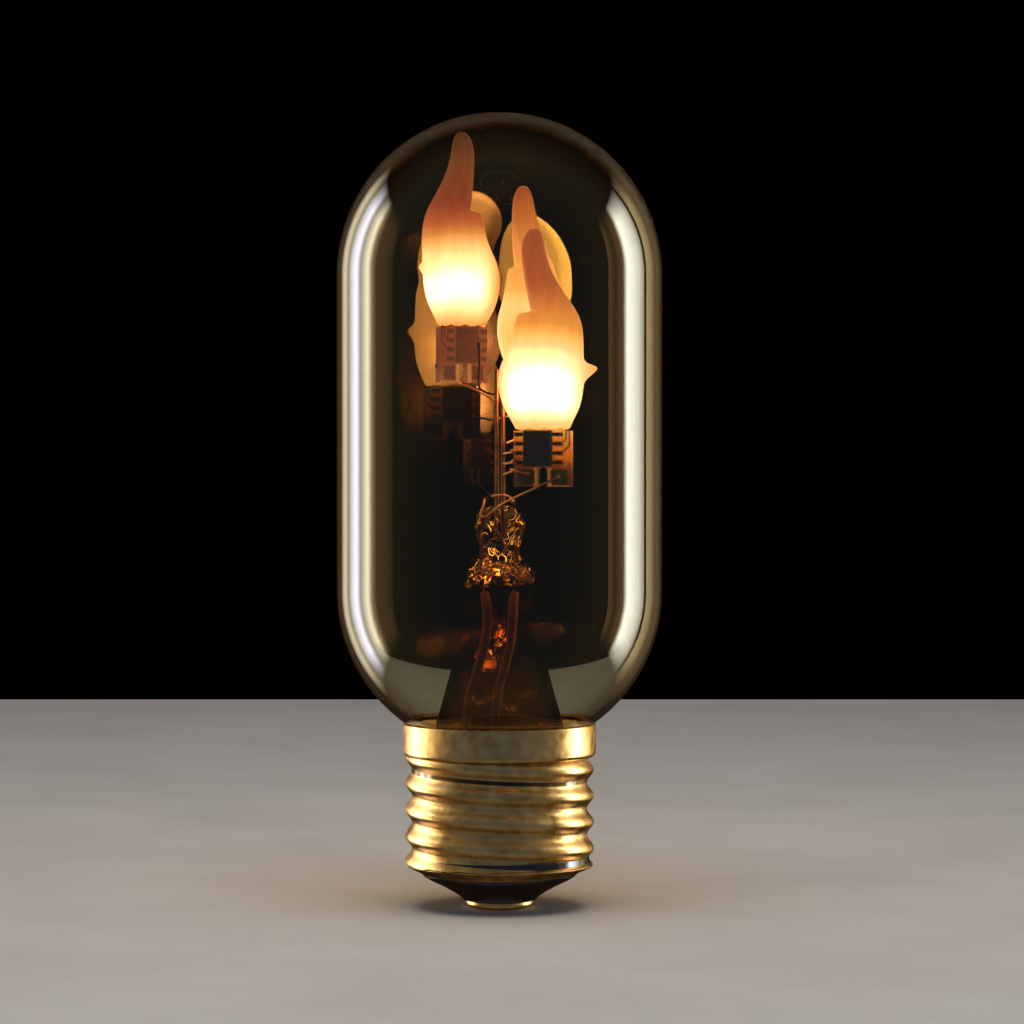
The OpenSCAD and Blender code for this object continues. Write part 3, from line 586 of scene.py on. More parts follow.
def lit_laminate(unit, heights, strip_glow):
    """Thin glass-epoxy laminate with a painted glow: amber emission stands in for the flame's
    light shining down through it. The chip, its pins, its pads and two copper tracks are painted
    shadows in the glow, seen from either face. The heights give the glow's colours from the
    lower edge up, by parts of LIT_H."""
    material, tree, shader = new_material(f"glass_epoxy_{unit}")
    place = unit_place(tree, unit)
    across, _, up = add(tree, "SeparateXYZ", {"Vector": place}).outputs
    patches = add(tree, "TexNoise", {"Vector": place, "Scale": 0.7, "Detail": 4.0})
    # Glass cloth, a thread every 0.35 mm
    cloth = add(tree, "TexNoise", {"Vector": place, "Scale": 2.8, "Detail": 1.0})
    part = add(tree, "Math", {0: up, 1: 1 / LIT_H}, operation="MULTIPLY")
    aslant = add(tree, "Math", {0: across, 1: 0.02, 2: part}, operation="MULTIPLY_ADD")
    wander = add(tree, "Math", {0: patches, 1: 0.2, 2: -0.1}, operation="MULTIPLY_ADD")
    height = add(tree, "Math", {0: aslant, 1: wander}, operation="ADD")
    glow = add(tree, "ValToRGB", {"Fac": height}, stops=heights)

    def beyond(value, middle, half):
        """How far a value lies past its middle by more than half a width."""
        off = add(tree, "Math", {0: value, 1: middle}, operation="SUBTRACT")
        off = add(tree, "Math", {0: off}, operation="ABSOLUTE")
        return add(tree, "Math", {0: off, 1: half}, operation="SUBTRACT")

    def block(x, x_middle, x_half, z_middle, z_half):
        """How far a point of the board lies outside an upright rectangle."""
        aside, above = beyond(x, x_middle, x_half), beyond(up, z_middle, z_half)
        return add(tree, "Math", {0: aside, 1: above}, operation="MAXIMUM")

    def track(start, end):
        """How far a point of the board lies outside a straight track of copper."""
        run = Vector(end) - Vector(start)
        on_face = add(tree, "CombineXYZ", {"X": across, "Y": up})
        off = add(tree, "VectorMath", {0: on_face, 1: (*start, 0)}, operation="SUBTRACT")
        along = add(
            tree, "VectorMath", {0: off, 1: (*(run / run.length_squared), 0)},
            operation="DOT_PRODUCT",
        ).outputs["Value"]
        held = add(tree, "Clamp", {"Value": along})
        on_track = add(tree, "VectorMath", {0: (*run, 0), 3: held}, operation="SCALE")
        far = add(
            tree, "VectorMath", {0: off, 1: on_track}, operation="DISTANCE"
        ).outputs["Value"]
        return add(tree, "Math", {0: far, 1: TRACK_W / 2}, operation="SUBTRACT")

    wide = add(tree, "Math", {0: across}, operation="ABSOLUTE")
    chip_middle = CHIP_Z + CHIP_L / 2
    # Painted shadows of four pins a side, counted by the rest of the height over their pitch
    first = chip_middle - 2 * PIN_PITCH
    counted = add(tree, "Math", {0: up, 1: first}, operation="SUBTRACT")
    rest = add(tree, "Math", {0: counted, 1: PIN_PITCH}, operation="FLOORED_MODULO")
    from_chip = add(tree, "Math", {0: across, 1: CHIP_X}, operation="SUBTRACT")
    from_chip = add(tree, "Math", {0: from_chip}, operation="ABSOLUTE")
    pin_rows = block(from_chip, 2.8, 0.55, chip_middle, 2 * PIN_PITCH)
    pins = add(
        tree, "Math", {0: beyond(rest, PIN_PITCH / 2, 0.28), 1: pin_rows},
        operation="MAXIMUM",
    )
    nearest = block(across, CHIP_X, CHIP_W / 2, chip_middle, CHIP_L / 2)
    for shape in (pins, block(wide, PAD_X + 0.15, 0.95, PAD_Z, 0.95), *(
        track(start, end) for bends in TRACKS for start, end in zip(bends, bends[1:])
    )):
        nearest = add(tree, "Math", {0: nearest, 1: shape}, operation="MINIMUM")
    # Painted shadows: the glow drops to 0.14 of its strength over the chip, pins, pads and tracks
    shade = add(
        tree, "MapRange",
        {"Value": nearest, "From Min": -0.1, "From Max": 0.15, "To Min": 0.14, "To Max": 1.0},
    )
    threads = add(
        tree, "MapRange",
        {"Value": cloth, "From Min": 0.3, "From Max": 0.7, "To Min": 0.8, "To Max": 1.15},
    )
    lit = add(tree, "Math", {0: shade, 1: threads}, operation="MULTIPLY")
    # Painted light: beside the slot and along the lower edge the glow turns most of the way to
    # the strip colour
    by_slot, by_edge = block(wide, 0.98, 0.28, 1.2, 1.35), block(across, 2.1, 1.7, 0, 0.12)
    bare = add(tree, "Math", {0: by_slot, 1: by_edge}, operation="MINIMUM")
    clear = add(
        tree, "MapRange",
        {"Value": bare, "From Min": 0.12, "From Max": -0.08, "To Min": 0.0, "To Max": 0.85},
    )
    seen = add(tree, "Mix", {0: clear, 6: glow, 7: colour(strip_glow)}, data_type="RGBA")
    resin = add(tree, "ValToRGB", {"Fac": cloth}, stops=[(0.3, "#2c180c"), (0.7, "#3c2210")])
    plug(tree, shader, {
        "Base Color": resin, "Emission Color": seen.outputs[2], "Emission Strength": lit,
        "Roughness": 0.4, "Specular IOR Level": 0.2,
    })
    return material


# Blown soda-lime glass with an amber lustre, which mirrors twice as much as bare glass
BULB_GLASS = glass(
    "amber_lustre_bulb_glass", "#efe6ca", "#f6efda", "#7c5a2c", 9, (0.0, 0.012), 0.15
)
# Lead glass, amber and clear. The pressed head and the shoulder get painted glints, thin lines
# of gold emission, and so does the exhaust tube where it was melted shut.
LEAD_GLASS = ("#c08a48", "#e0b878", "#8a5a26", 3, (0.0, 0.02), 0.0)
STEM_GLASS = glass("pressed_lead_glass", *LEAD_GLASS)
TUBE_GLASS = glass("melted_lead_glass", *LEAD_GLASS)
painted_gold_glints(STEM_GLASS, [
    (23.6, "#000000"), (25.2, "#f0f0f0"), (27.6, "#f0f0f0"), (29.2, "#9c9c9c"),
    (34.4, "#9c9c9c"), (36, "#000000"),
])
painted_gold_glints(TUBE_GLASS, [
    (12.8, "#000000"), (14, "#ffffff"), (17.6, "#ffffff"), (19.2, "#000000"),
])
# Brass sheet: warm yellow metal, slightly dulled by handling
BRASS = mottled("rolled_brass_sheet", "#a9844a", "#c9a668", 2.2, (0.24, 0.4), 0.02, 1.0)
# White plaster-like cement, coarse and dull
CEMENT = mottled("capping_cement", "#b8ae9a", "#d8cfbd", 0.5, (0.8, 0.95), 0.06)
# Black glass of the insulator, glossy with soft ripples
CAP_GLASS = mottled("black_cap_glass", "#08080a", "#141316", 1.4, (0.08, 0.2), 0.03, IOR=1.52)
# Lead-free solder: dull grey metal that set in small ripples
SOLDER = mottled("set_solder", "#4c4a48", "#7d7a76", 0.5, (0.35, 0.6), 0.05, 1.0)
# Nickel-plated iron of the rods, turned bronze by the heat of the sealing flame
ROD_METAL = mottled("darkened_nickel_iron", "#845a34", "#b4804a", 1.5, (0.28, 0.45), 0.02, 1.0)
# Copper-sheathed wire: warm bright metal
COPPER = mottled("copper_clad_wire", "#e4a45c", "#f6bc72", 4, (0.38, 0.5), 0.0, 1.0)
# Borated copper of the seal wires, deep red-brown
SEAL_WIRE = mottled("borated_copper_wire", "#5a2616", "#8a4424", 3, (0.3, 0.45), 0.0, 1.0)
# The same copper wire in a darker tone, used for the left board's links
DARK_COPPER = mottled("heat_darkened_copper", "#30262c", "#5a4034", 2, (0.3, 0.45), 0.0, 1.0)
# Woven glass sleeving: a translucent straw-brown tube with a fine knobbly weave
SLEEVING = mottled(
    "glass_fibre_sleeving", "#86561e", "#b88444", 0.4, (0.3, 0.45), 0.04,
    Transmission_Weight=0.5, IOR=1.45,
)
# Black moulding epoxy of the chips: matt, blue-black under the lamps, with a sand-like grain
CHIP_EPOXY = mottled("black_moulding_epoxy", "#101c3e", "#16264c", 0.25, (0.55, 0.75), 0.012)
# Tin-plated lead frame of the pins, dull and brownish in the flames' light
PIN_TIN = mottled("tinned_lead_frame", "#3c342c", "#6e6254", 0.4, (0.3, 0.5), 0.0, 1.0)
# Yellow phosphor under clear resin on the LEDs
PHOSPHOR = mottled("led_phosphor", "#e0b84a", "#f6dc84", 0.3, (0.3, 0.45), 0.0)
# Plastic shrunk on the capacitor: dark blue, smooth, with a soft shine and no print
SHRINK = mottled("plain_shrink_sleeve", "#1c2436", "#2b3550", 1.5, (0.3, 0.45), 0.02)
# Fired ferrite of the choke: dull charcoal, like unglazed stoneware
FERRITE = mottled("fired_ferrite", "#232324", "#3a3a3c", 0.4, (0.55, 0.8), 0.04)
# Baked lacquer of the resistor: green, a little uneven, half glossy
LACQUER = mottled("green_lacquer", "#2f6b3e", "#4a8f5a", 0.9, (0.3, 0.45), 0.02)
# Brown laminate of the supply board, smooth with cloudy patches
SUPPLY_RESIN = mottled("supply_laminate", "#5a2c0c", "#7a3e12", 0.8, (0.35, 0.5), 0.02)


def dress(piece, material, node, angle=50):
    """Smooths a new piece, gives it its finish, makes it ride on the lamp and hides the CAD node
    that it stands for."""
    take(piece)
    bpy.ops.object.shade_smooth_by_angle(angle=math.radians(angle))
    piece.data.materials.clear()
    piece.data.materials.append(material)
    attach(piece, "root")
    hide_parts(node)


# Glass bulb


def glass_bulb():
    """A ball drawn out to a capsule, opened at the neck, with its wall inside."""
    begin()
    bpy.ops.mesh.primitive_uv_sphere_add(
        segments=192, ring_count=96, radius=BULB_R * MM, location=(0, 0, HIGH_DOME_Z * MM)
    )
    piece = seat(named("glass_bulb"))
    choose(piece, "FACE", lambda m, f: m.z < HIGH_DOME_Z)
    bpy.ops.mesh.extrude_region_move(
        TRANSFORM_OT_translate={"value": (0, 0, (LOW_DOME_Z - HIGH_DOME_Z) * MM)}
    )
    neck_top = LOW_DOME_Z - math.sqrt(BULB_R**2 - NECK_R**2)
    bpy.ops.mesh.select_all(action="SELECT")
    bpy.ops.mesh.bisect(plane_co=(0, 0, neck_top * MM), plane_no=(0, 0, 1), clear_inner=True)
    choose(piece, "EDGE", lambda m, e: abs(m.z - neck_top) < 0.01)
    draw_on(centred((z, NECK_R, NECK_R) for z in (neck_top, neck_top - 1, NECK_END)))
    bpy.ops.object.mode_set(mode="OBJECT")
    outward(piece)
    add_modifier(piece, "SOLIDIFY", thickness=GLASS_WALL * MM, offset=-1)
    dress(piece, BULB_GLASS, "glass_envelope")


# Stem of glass: flare, tube, shoulder and pinched head, with the sealed exhaust tube inside


def stem():
    """One wall of glass from the open flare to the head that was pressed flat on the wires."""
    flare = []
    for i in range(9):
        s = i / 9
        r = STEM_R + (FLARE_R - STEM_R) * (1 - s) ** 1.2
        flare.append((NECK_END + s * (FLARE_START - NECK_END), r, r))
    head = [
        (FLARE_START, STEM_R, STEM_R), (SHOULDER_Z, STEM_R, STEM_R),
        (SHOULDER_Z + 1.4, 4.95, 4.8), (SHOULDER_Z + 2.6, 4.45, 3.9),
        (SHOULDER_Z + 3.4, 3.6, 2.8), (SHOULDER_Z + 4.2, 3.05, 2.0),
        (SHOULDER_Z + 5.4, 2.85, 1.65), (STEM_TOP - 5.6, 2.9, 1.55),
        (STEM_TOP - 4.8, 3.4, 1.6), (STEM_TOP - 3.6, 3.65, 1.6),
        (STEM_TOP - 2.4, 3.45, 1.6), (STEM_TOP - 1.4, 2.7, 1.45),
        (STEM_TOP - 0.8, 1.6, 0.95), (STEM_TOP - 0.6, 0.5, 0.35),
    ]
    piece = raise_rings("pressed_stem", centred(flare + head))
    # The cavity goes up from the open end of the flare
    choose(piece, "FACE", lambda m, f: m.z < NECK_END + 0.01)
    inner = [(z, w - STEM_WALL, d - STEM_WALL) for z, w, d in flare]
    inner += [
        (FLARE_START, 4.2, 4.2), (SHOULDER_Z + 0.8, 4.1, 4.0), (SHOULDER_Z + 1.7, 3.4, 3.1),
        (HOLLOW_TOP - 0.15, 2.2, 1.9), (HOLLOW_TOP, 0.8, 0.8),
    ]
    draw_on(centred(flare[:1] + inner))
    bpy.ops.object.mode_set(mode="OBJECT")
    outward(piece)
    add_modifier(piece, "SUBSURF", levels=2, render_levels=2)
    # The pressing leaves the glass of the head and the shoulder wavy
    worked = piece.vertex_groups.new(name="pressed")
    for v in piece.data.vertices:
        above = v.co.z / MM - SHOULDER_Z
        worked.add([v.index], min(1, max(0, (above + 0.8) / 1.5)), "REPLACE")
    ripple = bpy.data.textures.new("pressed_ripple", "CLOUDS")
    ripple.noise_scale, ripple.noise_depth = 1.5 * MM, 1
    add_modifier(
        piece, "DISPLACE", texture=ripple, vertex_group="pressed", strength=0.75 * MM,
        mid_level=0.62, texture_coords="LOCAL",
    )
    piece = join("pressed_stem", [piece] + bubbles())
    dress(piece, STEM_GLASS, "glass_stem", 60)


def bubbles():
    """Air bubbles shut in the pressed glass, with their walls turned to the air inside. Each is
    its x, y, height from the stem's top and half width."""
    spots = [
        (1.0, -0.5, -1.1, 0.5), (2.35, -0.4, -3.3, 0.7), (-0.1, -0.6, -2.6, 0.32),
        (-1.3, -0.5, -2.2, 0.3), (-0.6, -0.5, -4.3, 0.42), (1.1, 0.3, -4.4, 0.3),
        (0.6, -0.6, -5.8, 0.38), (-1.4, -0.4, -5.4, 0.3), (-0.5, -0.2, -7.0, 0.45),
        (0.9, 0.1, -7.4, 0.35), (-1.7, -0.8, -8.6, 0.4), (1.9, -1.0, -8.9, 0.45),
        (0.1, -1.4, -9.2, 0.5), (-2.9, -1.2, -9.8, 0.35), (3.0, -0.8, -9.6, 0.4),
    ]
    made = []
    for i, (x, y, depth, r) in enumerate(spots):
        bubble = bead(f"bubble_{i}", (x, y, STEM_TOP + depth), (r, 0.7 * r, 0.8 * r), 40 * i)
        bpy.ops.object.mode_set(mode="EDIT")
        bpy.ops.mesh.select_all(action="SELECT")
        bpy.ops.mesh.flip_normals()
        bpy.ops.object.mode_set(mode="OBJECT")
        made.append(bubble)
    return made


def exhaust_stub():
    """The tube that the lamp was pumped through, melted shut at its lower end."""
    low = CAVITY_TOP - EXHAUST_L
    piece = round_form("sealed_exhaust_tube", [
        (low, 0.25), (low + 0.15, 0.9), (low + 0.7, 1.5), (low + EXHAUST_R, EXHAUST_R),
        (low + 4, EXHAUST_R - 0.05), (HOLLOW_TOP - 1, EXHAUST_R), (HOLLOW_TOP - TOUCH, EXHAUST_R),
        (HOLLOW_TOP - TOUCH, EXHAUST_R - 0.8), (low + 4, EXHAUST_R - 0.85), (low + 2.4, 0.8),
        (low + 1.8, 0.25),
    ], 32, "NGON")
    add_modifier(piece, "SUBSURF", levels=2, render_levels=2)
    dress(piece, TUBE_GLASS, "exhaust_tube", 60)


# Screw cap


def rolled_thread():
    """One pitch of the rounded thread, as one line that the Screw modifier winds down."""
    begin()
    bpy.ops.mesh.primitive_circle_add(vertices=3, radius=MM, fill_type="NOTHING")
    thread = named("rolled_thread")
    middle = (THREAD_R + THREAD_ROOT_R) / 2
    half = (THREAD_R - THREAD_ROOT_R) / 2
    steps = 16
    choose(thread, "VERT", lambda m, v: v.index > 0)
    bpy.ops.mesh.delete(type="VERT")
    choose(thread, "VERT", lambda m, v: True)
    start = thread.data.vertices[0].co.copy()
    bpy.ops.transform.translate(value=Vector((middle + half, 0, 0)) * MM - start)
    for i in range(steps):
        a, b = 2 * math.pi * i / steps, 2 * math.pi * (i + 1) / steps
        step = Vector((half * (math.cos(b) - math.cos(a)), 0, -THREAD_PITCH / steps)) * MM
        bpy.ops.mesh.extrude_vertices_move(TRANSFORM_OT_translate={"value": step})
    bpy.ops.object.mode_set(mode="OBJECT")
    add_modifier(
        thread, "SCREW", angle=2 * math.pi, screw_offset=-THREAD_PITCH * MM, iterations=6,
        steps=96, render_steps=96, axis="Z", use_merge_vertices=True, merge_threshold=0.00002,
    )
    # It starts above the thread's length, and what is over is cut off at both ends
    choose(thread, "VERT", lambda m, v: True)
    bpy.ops.transform.translate(value=(0, 0, 1.5 * THREAD_PITCH * MM))
    bpy.ops.mesh.remove_doubles(threshold=0.00002)
    bpy.ops.mesh.bisect(plane_co=(0, 0, 0.3 * MM), plane_no=(0, 0, 1), clear_outer=True)
    bpy.ops.mesh.select_all(action="SELECT")
    bpy.ops.mesh.bisect(
        plane_co=(0, 0, (0.2 - THREAD_L) * MM), plane_no=(0, 0, 1), clear_inner=True
    )
    bpy.ops.mesh.select_all(action="SELECT")
    bpy.ops.mesh.normals_make_consistent(inside=False)
    bpy.ops.object.mode_set(mode="OBJECT")
    return thread


def threaded_shell():
    """Rolled thread, with the plain collar above it and the lip below, all one pressed sheet."""
    thread = rolled_thread()
    rim = COLLAR_R - SHELL_WALL
    collar = round_form("collar", [
        (0.1, THREAD_ROOT_R - 0.1), (0, THREAD_R - 0.25), (0.15, THREAD_R - 0.02),
        (0.6, COLLAR_R), (0.8, COLLAR_R), (COLLAR_TOP - 0.25, COLLAR_R),
        (COLLAR_TOP - 0.05, COLLAR_R - 0.05), (COLLAR_TOP, COLLAR_R - 0.17),
        (COLLAR_TOP - 0.05, rim + 0.05), (COLLAR_TOP - 0.3, rim), (0.7, rim),
    ], 144)
    lip = round_form("lip", [
        (0.5 - THREAD_L, THREAD_ROOT_R - 0.1), (0.28 - THREAD_L, THREAD_R - 0.3),
        (-THREAD_L, THREAD_R - 0.1), (-THREAD_L - 0.3, THREAD_R - 0.45),
        (LIP_Z + 0.15, 11), (LIP_Z, 10.85), (LIP_Z + 0.1, 10.8), (LIP_Z + 0.4, 10.8),
    ], 144)
    piece = join("threaded_shell", [thread, collar, lip])
    dress(piece, BRASS, "screw_shell")


def insulator():
    """The pressed cone of black glass that closes the shell."""
    foot = LIP_Z - INSULATOR_H
    piece = round_form("glass_insulator", [
        (-THREAD_L + 1.2, 0.8), (-THREAD_L + 1.2, 12.4), (-THREAD_L + 0.4, 12.5),
        (LIP_Z + 0.9, 10.75), (LIP_Z, 10.75), (LIP_Z - 0.35, 10.5), (LIP_Z - 0.9, 9.6),
        (LIP_Z - 1.7, 7.9), (LIP_Z - 2.5, 6.5), (LIP_Z - 3.1, 5.6), (foot + 0.2, 5.25),
        (foot, 5.1), (foot, 0.8),
    ], 96)
    dress(piece, CAP_GLASS, "cap_insulator")


def contact():
    """The brass disc under the insulator, dished round its hole."""
    top = LIP_Z - INSULATOR_H - TOUCH
    piece = round_form("contact_plate", [
        (top, 0.6), (top, 4.6), (top - 0.1, 4.7), (top - 0.5, 4.7), (top - 0.85, 4.45),
        (TIP_Z + 0.12, 3.75), (TIP_Z, 3.4), (TIP_Z + 0.02, 1.9), (TIP_Z + 0.3, 1.6),
        (TIP_Z + 0.45, 0.6),
    ], 96)
    dress(piece, BRASS, "centre_contact")


def contact_drop():
    """The drop of solder that fills the contact's hole and holds the live wire."""
    piece = round_form("contact_solder_drop", [
        (TIP_Z + 0.47, 0.5), (TIP_Z + 0.44, 1.55), (TIP_Z + 0.3, 1.5), (TIP_Z + 0.14, 1.2),
        (TIP_Z + 0.05, 0.8), (TIP_Z + 0.01, 0.3),
    ], 32, "NGON")
    add_modifier(piece, "SUBSURF", levels=1, render_levels=1)
    dress(piece, SOLDER, "contact_solder", 60)


# Flame sleeves


def flame_ring(row, lean, inset=0.0):
    """The ring of a flame at a row of its outline, inset by a wall, as the flame leans."""
    h, left, right, depth = row
    left, right = left * FLAME_W / 100 + inset, right * FLAME_W / 100 - inset
    return (
        FLAME_Z + h * FLAME_H / 100,
        (left + right) / 2 + lean[0] * h / 100,
        lean[1] * h / 100,
        (right - left) / 2,
        depth * FLAME_D / 100 - inset,
    )


def row_at(height):
    """The flame's outline at a height between two of its rows."""
    for low, high in zip(FLAME_ROWS, FLAME_ROWS[1:]):
        if low[0] <= height <= high[0]:
            t = (height - low[0]) / (high[0] - low[0])
            return tuple(a + (b - a) * t for a, b in zip(low, high))


def flame(unit, ear, *light):
    """A moulded flame: drawn up ring by ring, pulled out to its ear, pressed in along the folds
    of the tongue, hollowed from below and rounded. The ear is pulled out by ear mm."""
    turn = math.radians(UNITS[unit][3])
    lean_x, lean_y = UNITS[unit][4:]
    lean = (
        lean_x * math.cos(turn) + lean_y * math.sin(turn),
        lean_y * math.cos(turn) - lean_x * math.sin(turn),
    )
    rings = [flame_ring(row, lean) for row in FLAME_ROWS]
    piece = raise_rings(f"{unit}_flame_sleeve", rings, FLAME_SIDES)

    def near(height, angle, spread_h, spread_a):
        """A test for the points round a height of the flame and an angle about its middle."""

        def test(m, v):
            h = (m.z - FLAME_Z) * 100 / FLAME_H
            z, x, y, w, d = flame_ring(row_at(min(100, max(0, h))), lean)
            off = math.degrees(math.atan2((m.y - y) / d, (m.x - x) / w)) - angle
            return abs(h - height) < spread_h and abs((off + 180) % 360 - 180) < spread_a

        return test

    # The ear is pulled out of the side and a little up
    for height, angle, share in ((25, 0, 0.15), (28.5, 0, 1), (32, 0, 0.27),
                                 (28.5, 10, 0.12), (28.5, -10, 0.12)):
        choose(piece, "VERT", near(height, angle, 1, 4))
        bpy.ops.transform.translate(value=Vector((share * ear, 0, 0.25 * share * ear)) * MM)
    # Folds run up the tongue, two on its face and one behind
    for angle, depth in ((285, 0.5), (248, 0.3), (80, 0.45)):
        for height, share in ((58.5, 0.4), (64, 0.8), (70, 1), (78, 1), (88, 0.9), (94, 0.7)):
            choose(piece, "VERT", near(height, angle, 1.2, 6))
            way = math.radians(angle)
            bpy.ops.transform.translate(
                value=Vector((math.cos(way), math.sin(way), 0)) * (-depth * share * MM)
            )
    # The lower edge is scalloped
    for k in range(0, FLAME_SIDES, 4):
        choose(piece, "VERT", near(0, k * 360 / FLAME_SIDES, 1, 4))
        bpy.ops.transform.translate(value=(0, 0, 0.35 * MM))
    # The hollow for the LEDs
    choose(piece, "FACE", lambda m, f: len(f.vertices) > 8 and m.z < BOARD_SHOW + 2)
    rim = flame_ring(FLAME_ROWS[0], lean, 0.8)
    draw_on([rings[0], rim] + [flame_ring(row_at(h), lean, 1.0) for h in HOLLOW_ROWS])
    bpy.ops.object.mode_set(mode="OBJECT")
    outward(piece)
    add_modifier(piece, "SUBSURF", levels=2, render_levels=2)
    place_unit(piece, unit)
    dress(piece, flame_silicone(unit, *light), f"{unit}_flame", 80)


# Chips of the boards


def chip_body():
    """Eight-pin chip: a block with drafted sides, softened edges and a pin-one dimple."""
    begin()
    middle = Vector((0, -CHIP_GAP - CHIP_T / 2, CHIP_L / 2))
    bpy.ops.mesh.primitive_cube_add(size=MM, location=middle * MM)
    piece = named("chip_body")
    piece.scale = (CHIP_W, CHIP_T, CHIP_L)
    seat(piece)
    bpy.ops.object.mode_set(mode="EDIT")
    bpy.ops.mesh.select_all(action="SELECT")
    bpy.ops.mesh.bisect(plane_co=middle * MM, plane_no=(0, 1, 0))
    for face in (-1, 1):
        choose(piece, "VERT", lambda m, v: (m.y - middle.y) * face > 0.1)
        bpy.ops.transform.resize(
            value=(1 - 0.32 / CHIP_W, 1, 1 - 0.2 / CHIP_L), center_override=middle * MM
        )
    bpy.ops.object.mode_set(mode="OBJECT")
    add_modifier(piece, "BEVEL", width=0.14 * MM, segments=3, limit_method="ANGLE")
    begin()
    bpy.ops.mesh.primitive_cylinder_add(
        vertices=24, radius=0.27 * MM, depth=0.3 * MM, rotation=(math.pi / 2, 0, 0),
        location=Vector((-CHIP_W / 2 + 0.9, middle.y - CHIP_T / 2 - 0.06, CHIP_L - 0.9)) * MM,
    )
    dimple = seat(bpy.context.object)
    add_modifier(piece, "BOOLEAN", operation="DIFFERENCE", object=dimple)
    bpy.data.objects.remove(dimple)
    return piece


def copy_of(piece, name):
    """A copy of the piece with its own mesh."""
    copy = piece.copy()
    copy.data = piece.data.copy()
    copy.name = copy.data.name = name
    bpy.context.scene.collection.objects.link(copy)
    return copy


def chips():
    """The chips of the three boards and of the supply board, copies of one body."""
    body = chip_body()
    for unit in UNITS:
        piece = copy_of(body, f"{unit}_chip_body")
        piece.data.transform(Matrix.Translation(Vector((CHIP_X, -BOARD_T / 2, CHIP_Z)) * MM))
        place_unit(piece, unit)
        dress(piece, CHIP_EPOXY, f"{unit}_chip", 35)
    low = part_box("supply_chip")[0].z
    body.data.transform(Matrix.Translation((0, SUPPLY_FRONT * MM, low)))
    body.name = body.data.name = "supply_chip_body"
    dress(body, CHIP_EPOXY, "supply_chip", 35)


# Wires


# Each lead's side of the stem, and its route below the pinch, from the cavity's top
LEADS = {
    "left": (-1, [
        (-2, -1.6, -1.8), (-1.7, -2.8, -3), (-1.6, -3, -5.4), (-2.1, -3, -9.4),
        (-3.1, -2.9, -12.9), (-4.1, -2.6, -16.4), (-4.4, -2, -19.4), (-4.3, -1.2, -21.4),
    ]),
    "right": (1, [
        (2, -1.6, -1.8), (1.8, -2.7, -3), (1.7, -2.95, -5.4), (1.5, -3, -8.4),
        (0.7, -2.9, -11.9), (-0.1, -2.6, -14.9), (-0.5, -2, -17.9), (-0.5, -1.2, -19.8),
    ]),
}


def rods():
    """The two upright rods that carry the boards."""
    for side, (x, y) in (("left", ROD_LEFT), ("right", ROD_RIGHT)):
        foot, top = (corner.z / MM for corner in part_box(f"rod_{side}"))
        path = [(x, y, foot + (top - foot) * i / 8) for i in range(9)]
        piece = wire(f"upright_rod_{side}", path, ROD_R)
        dress(piece, ROD_METAL, f"rod_{side}")


def leads():
    """The seal wires through the pinch, and the sleevings on them down to the supply board."""
    for name, (side, route) in LEADS.items():
        at = side * LEAD_X
        path = [(x, y, z + CAVITY_TOP) for x, y, z in route]
        foot = path[-1]
        whole = [
            (at, 0, LEAD_TOP), (at, 0, STEM_TOP - 4), (at, 0, CAVITY_TOP + 2),
            (at, -0.2, CAVITY_TOP - 0.4), *path,
            (foot[0], SUPPLY_FRONT - WIRE_R - TOUCH, foot[2] - 1.2),
        ]
        piece = wire(f"lead_{name}", whole, WIRE_R)
        dress(piece, SEAL_WIRE, f"lead_wire_{name}")
        tube = wire(f"sleeving_{name}", path, SLEEVING_R, 5, closed_ends=False)
        add_modifier(tube, "SOLIDIFY", thickness=(SLEEVING_R - WIRE_R - TOUCH) * MM, offset=-1)
        dress(tube, SLEEVING, f"lead_sleeving_{name}")


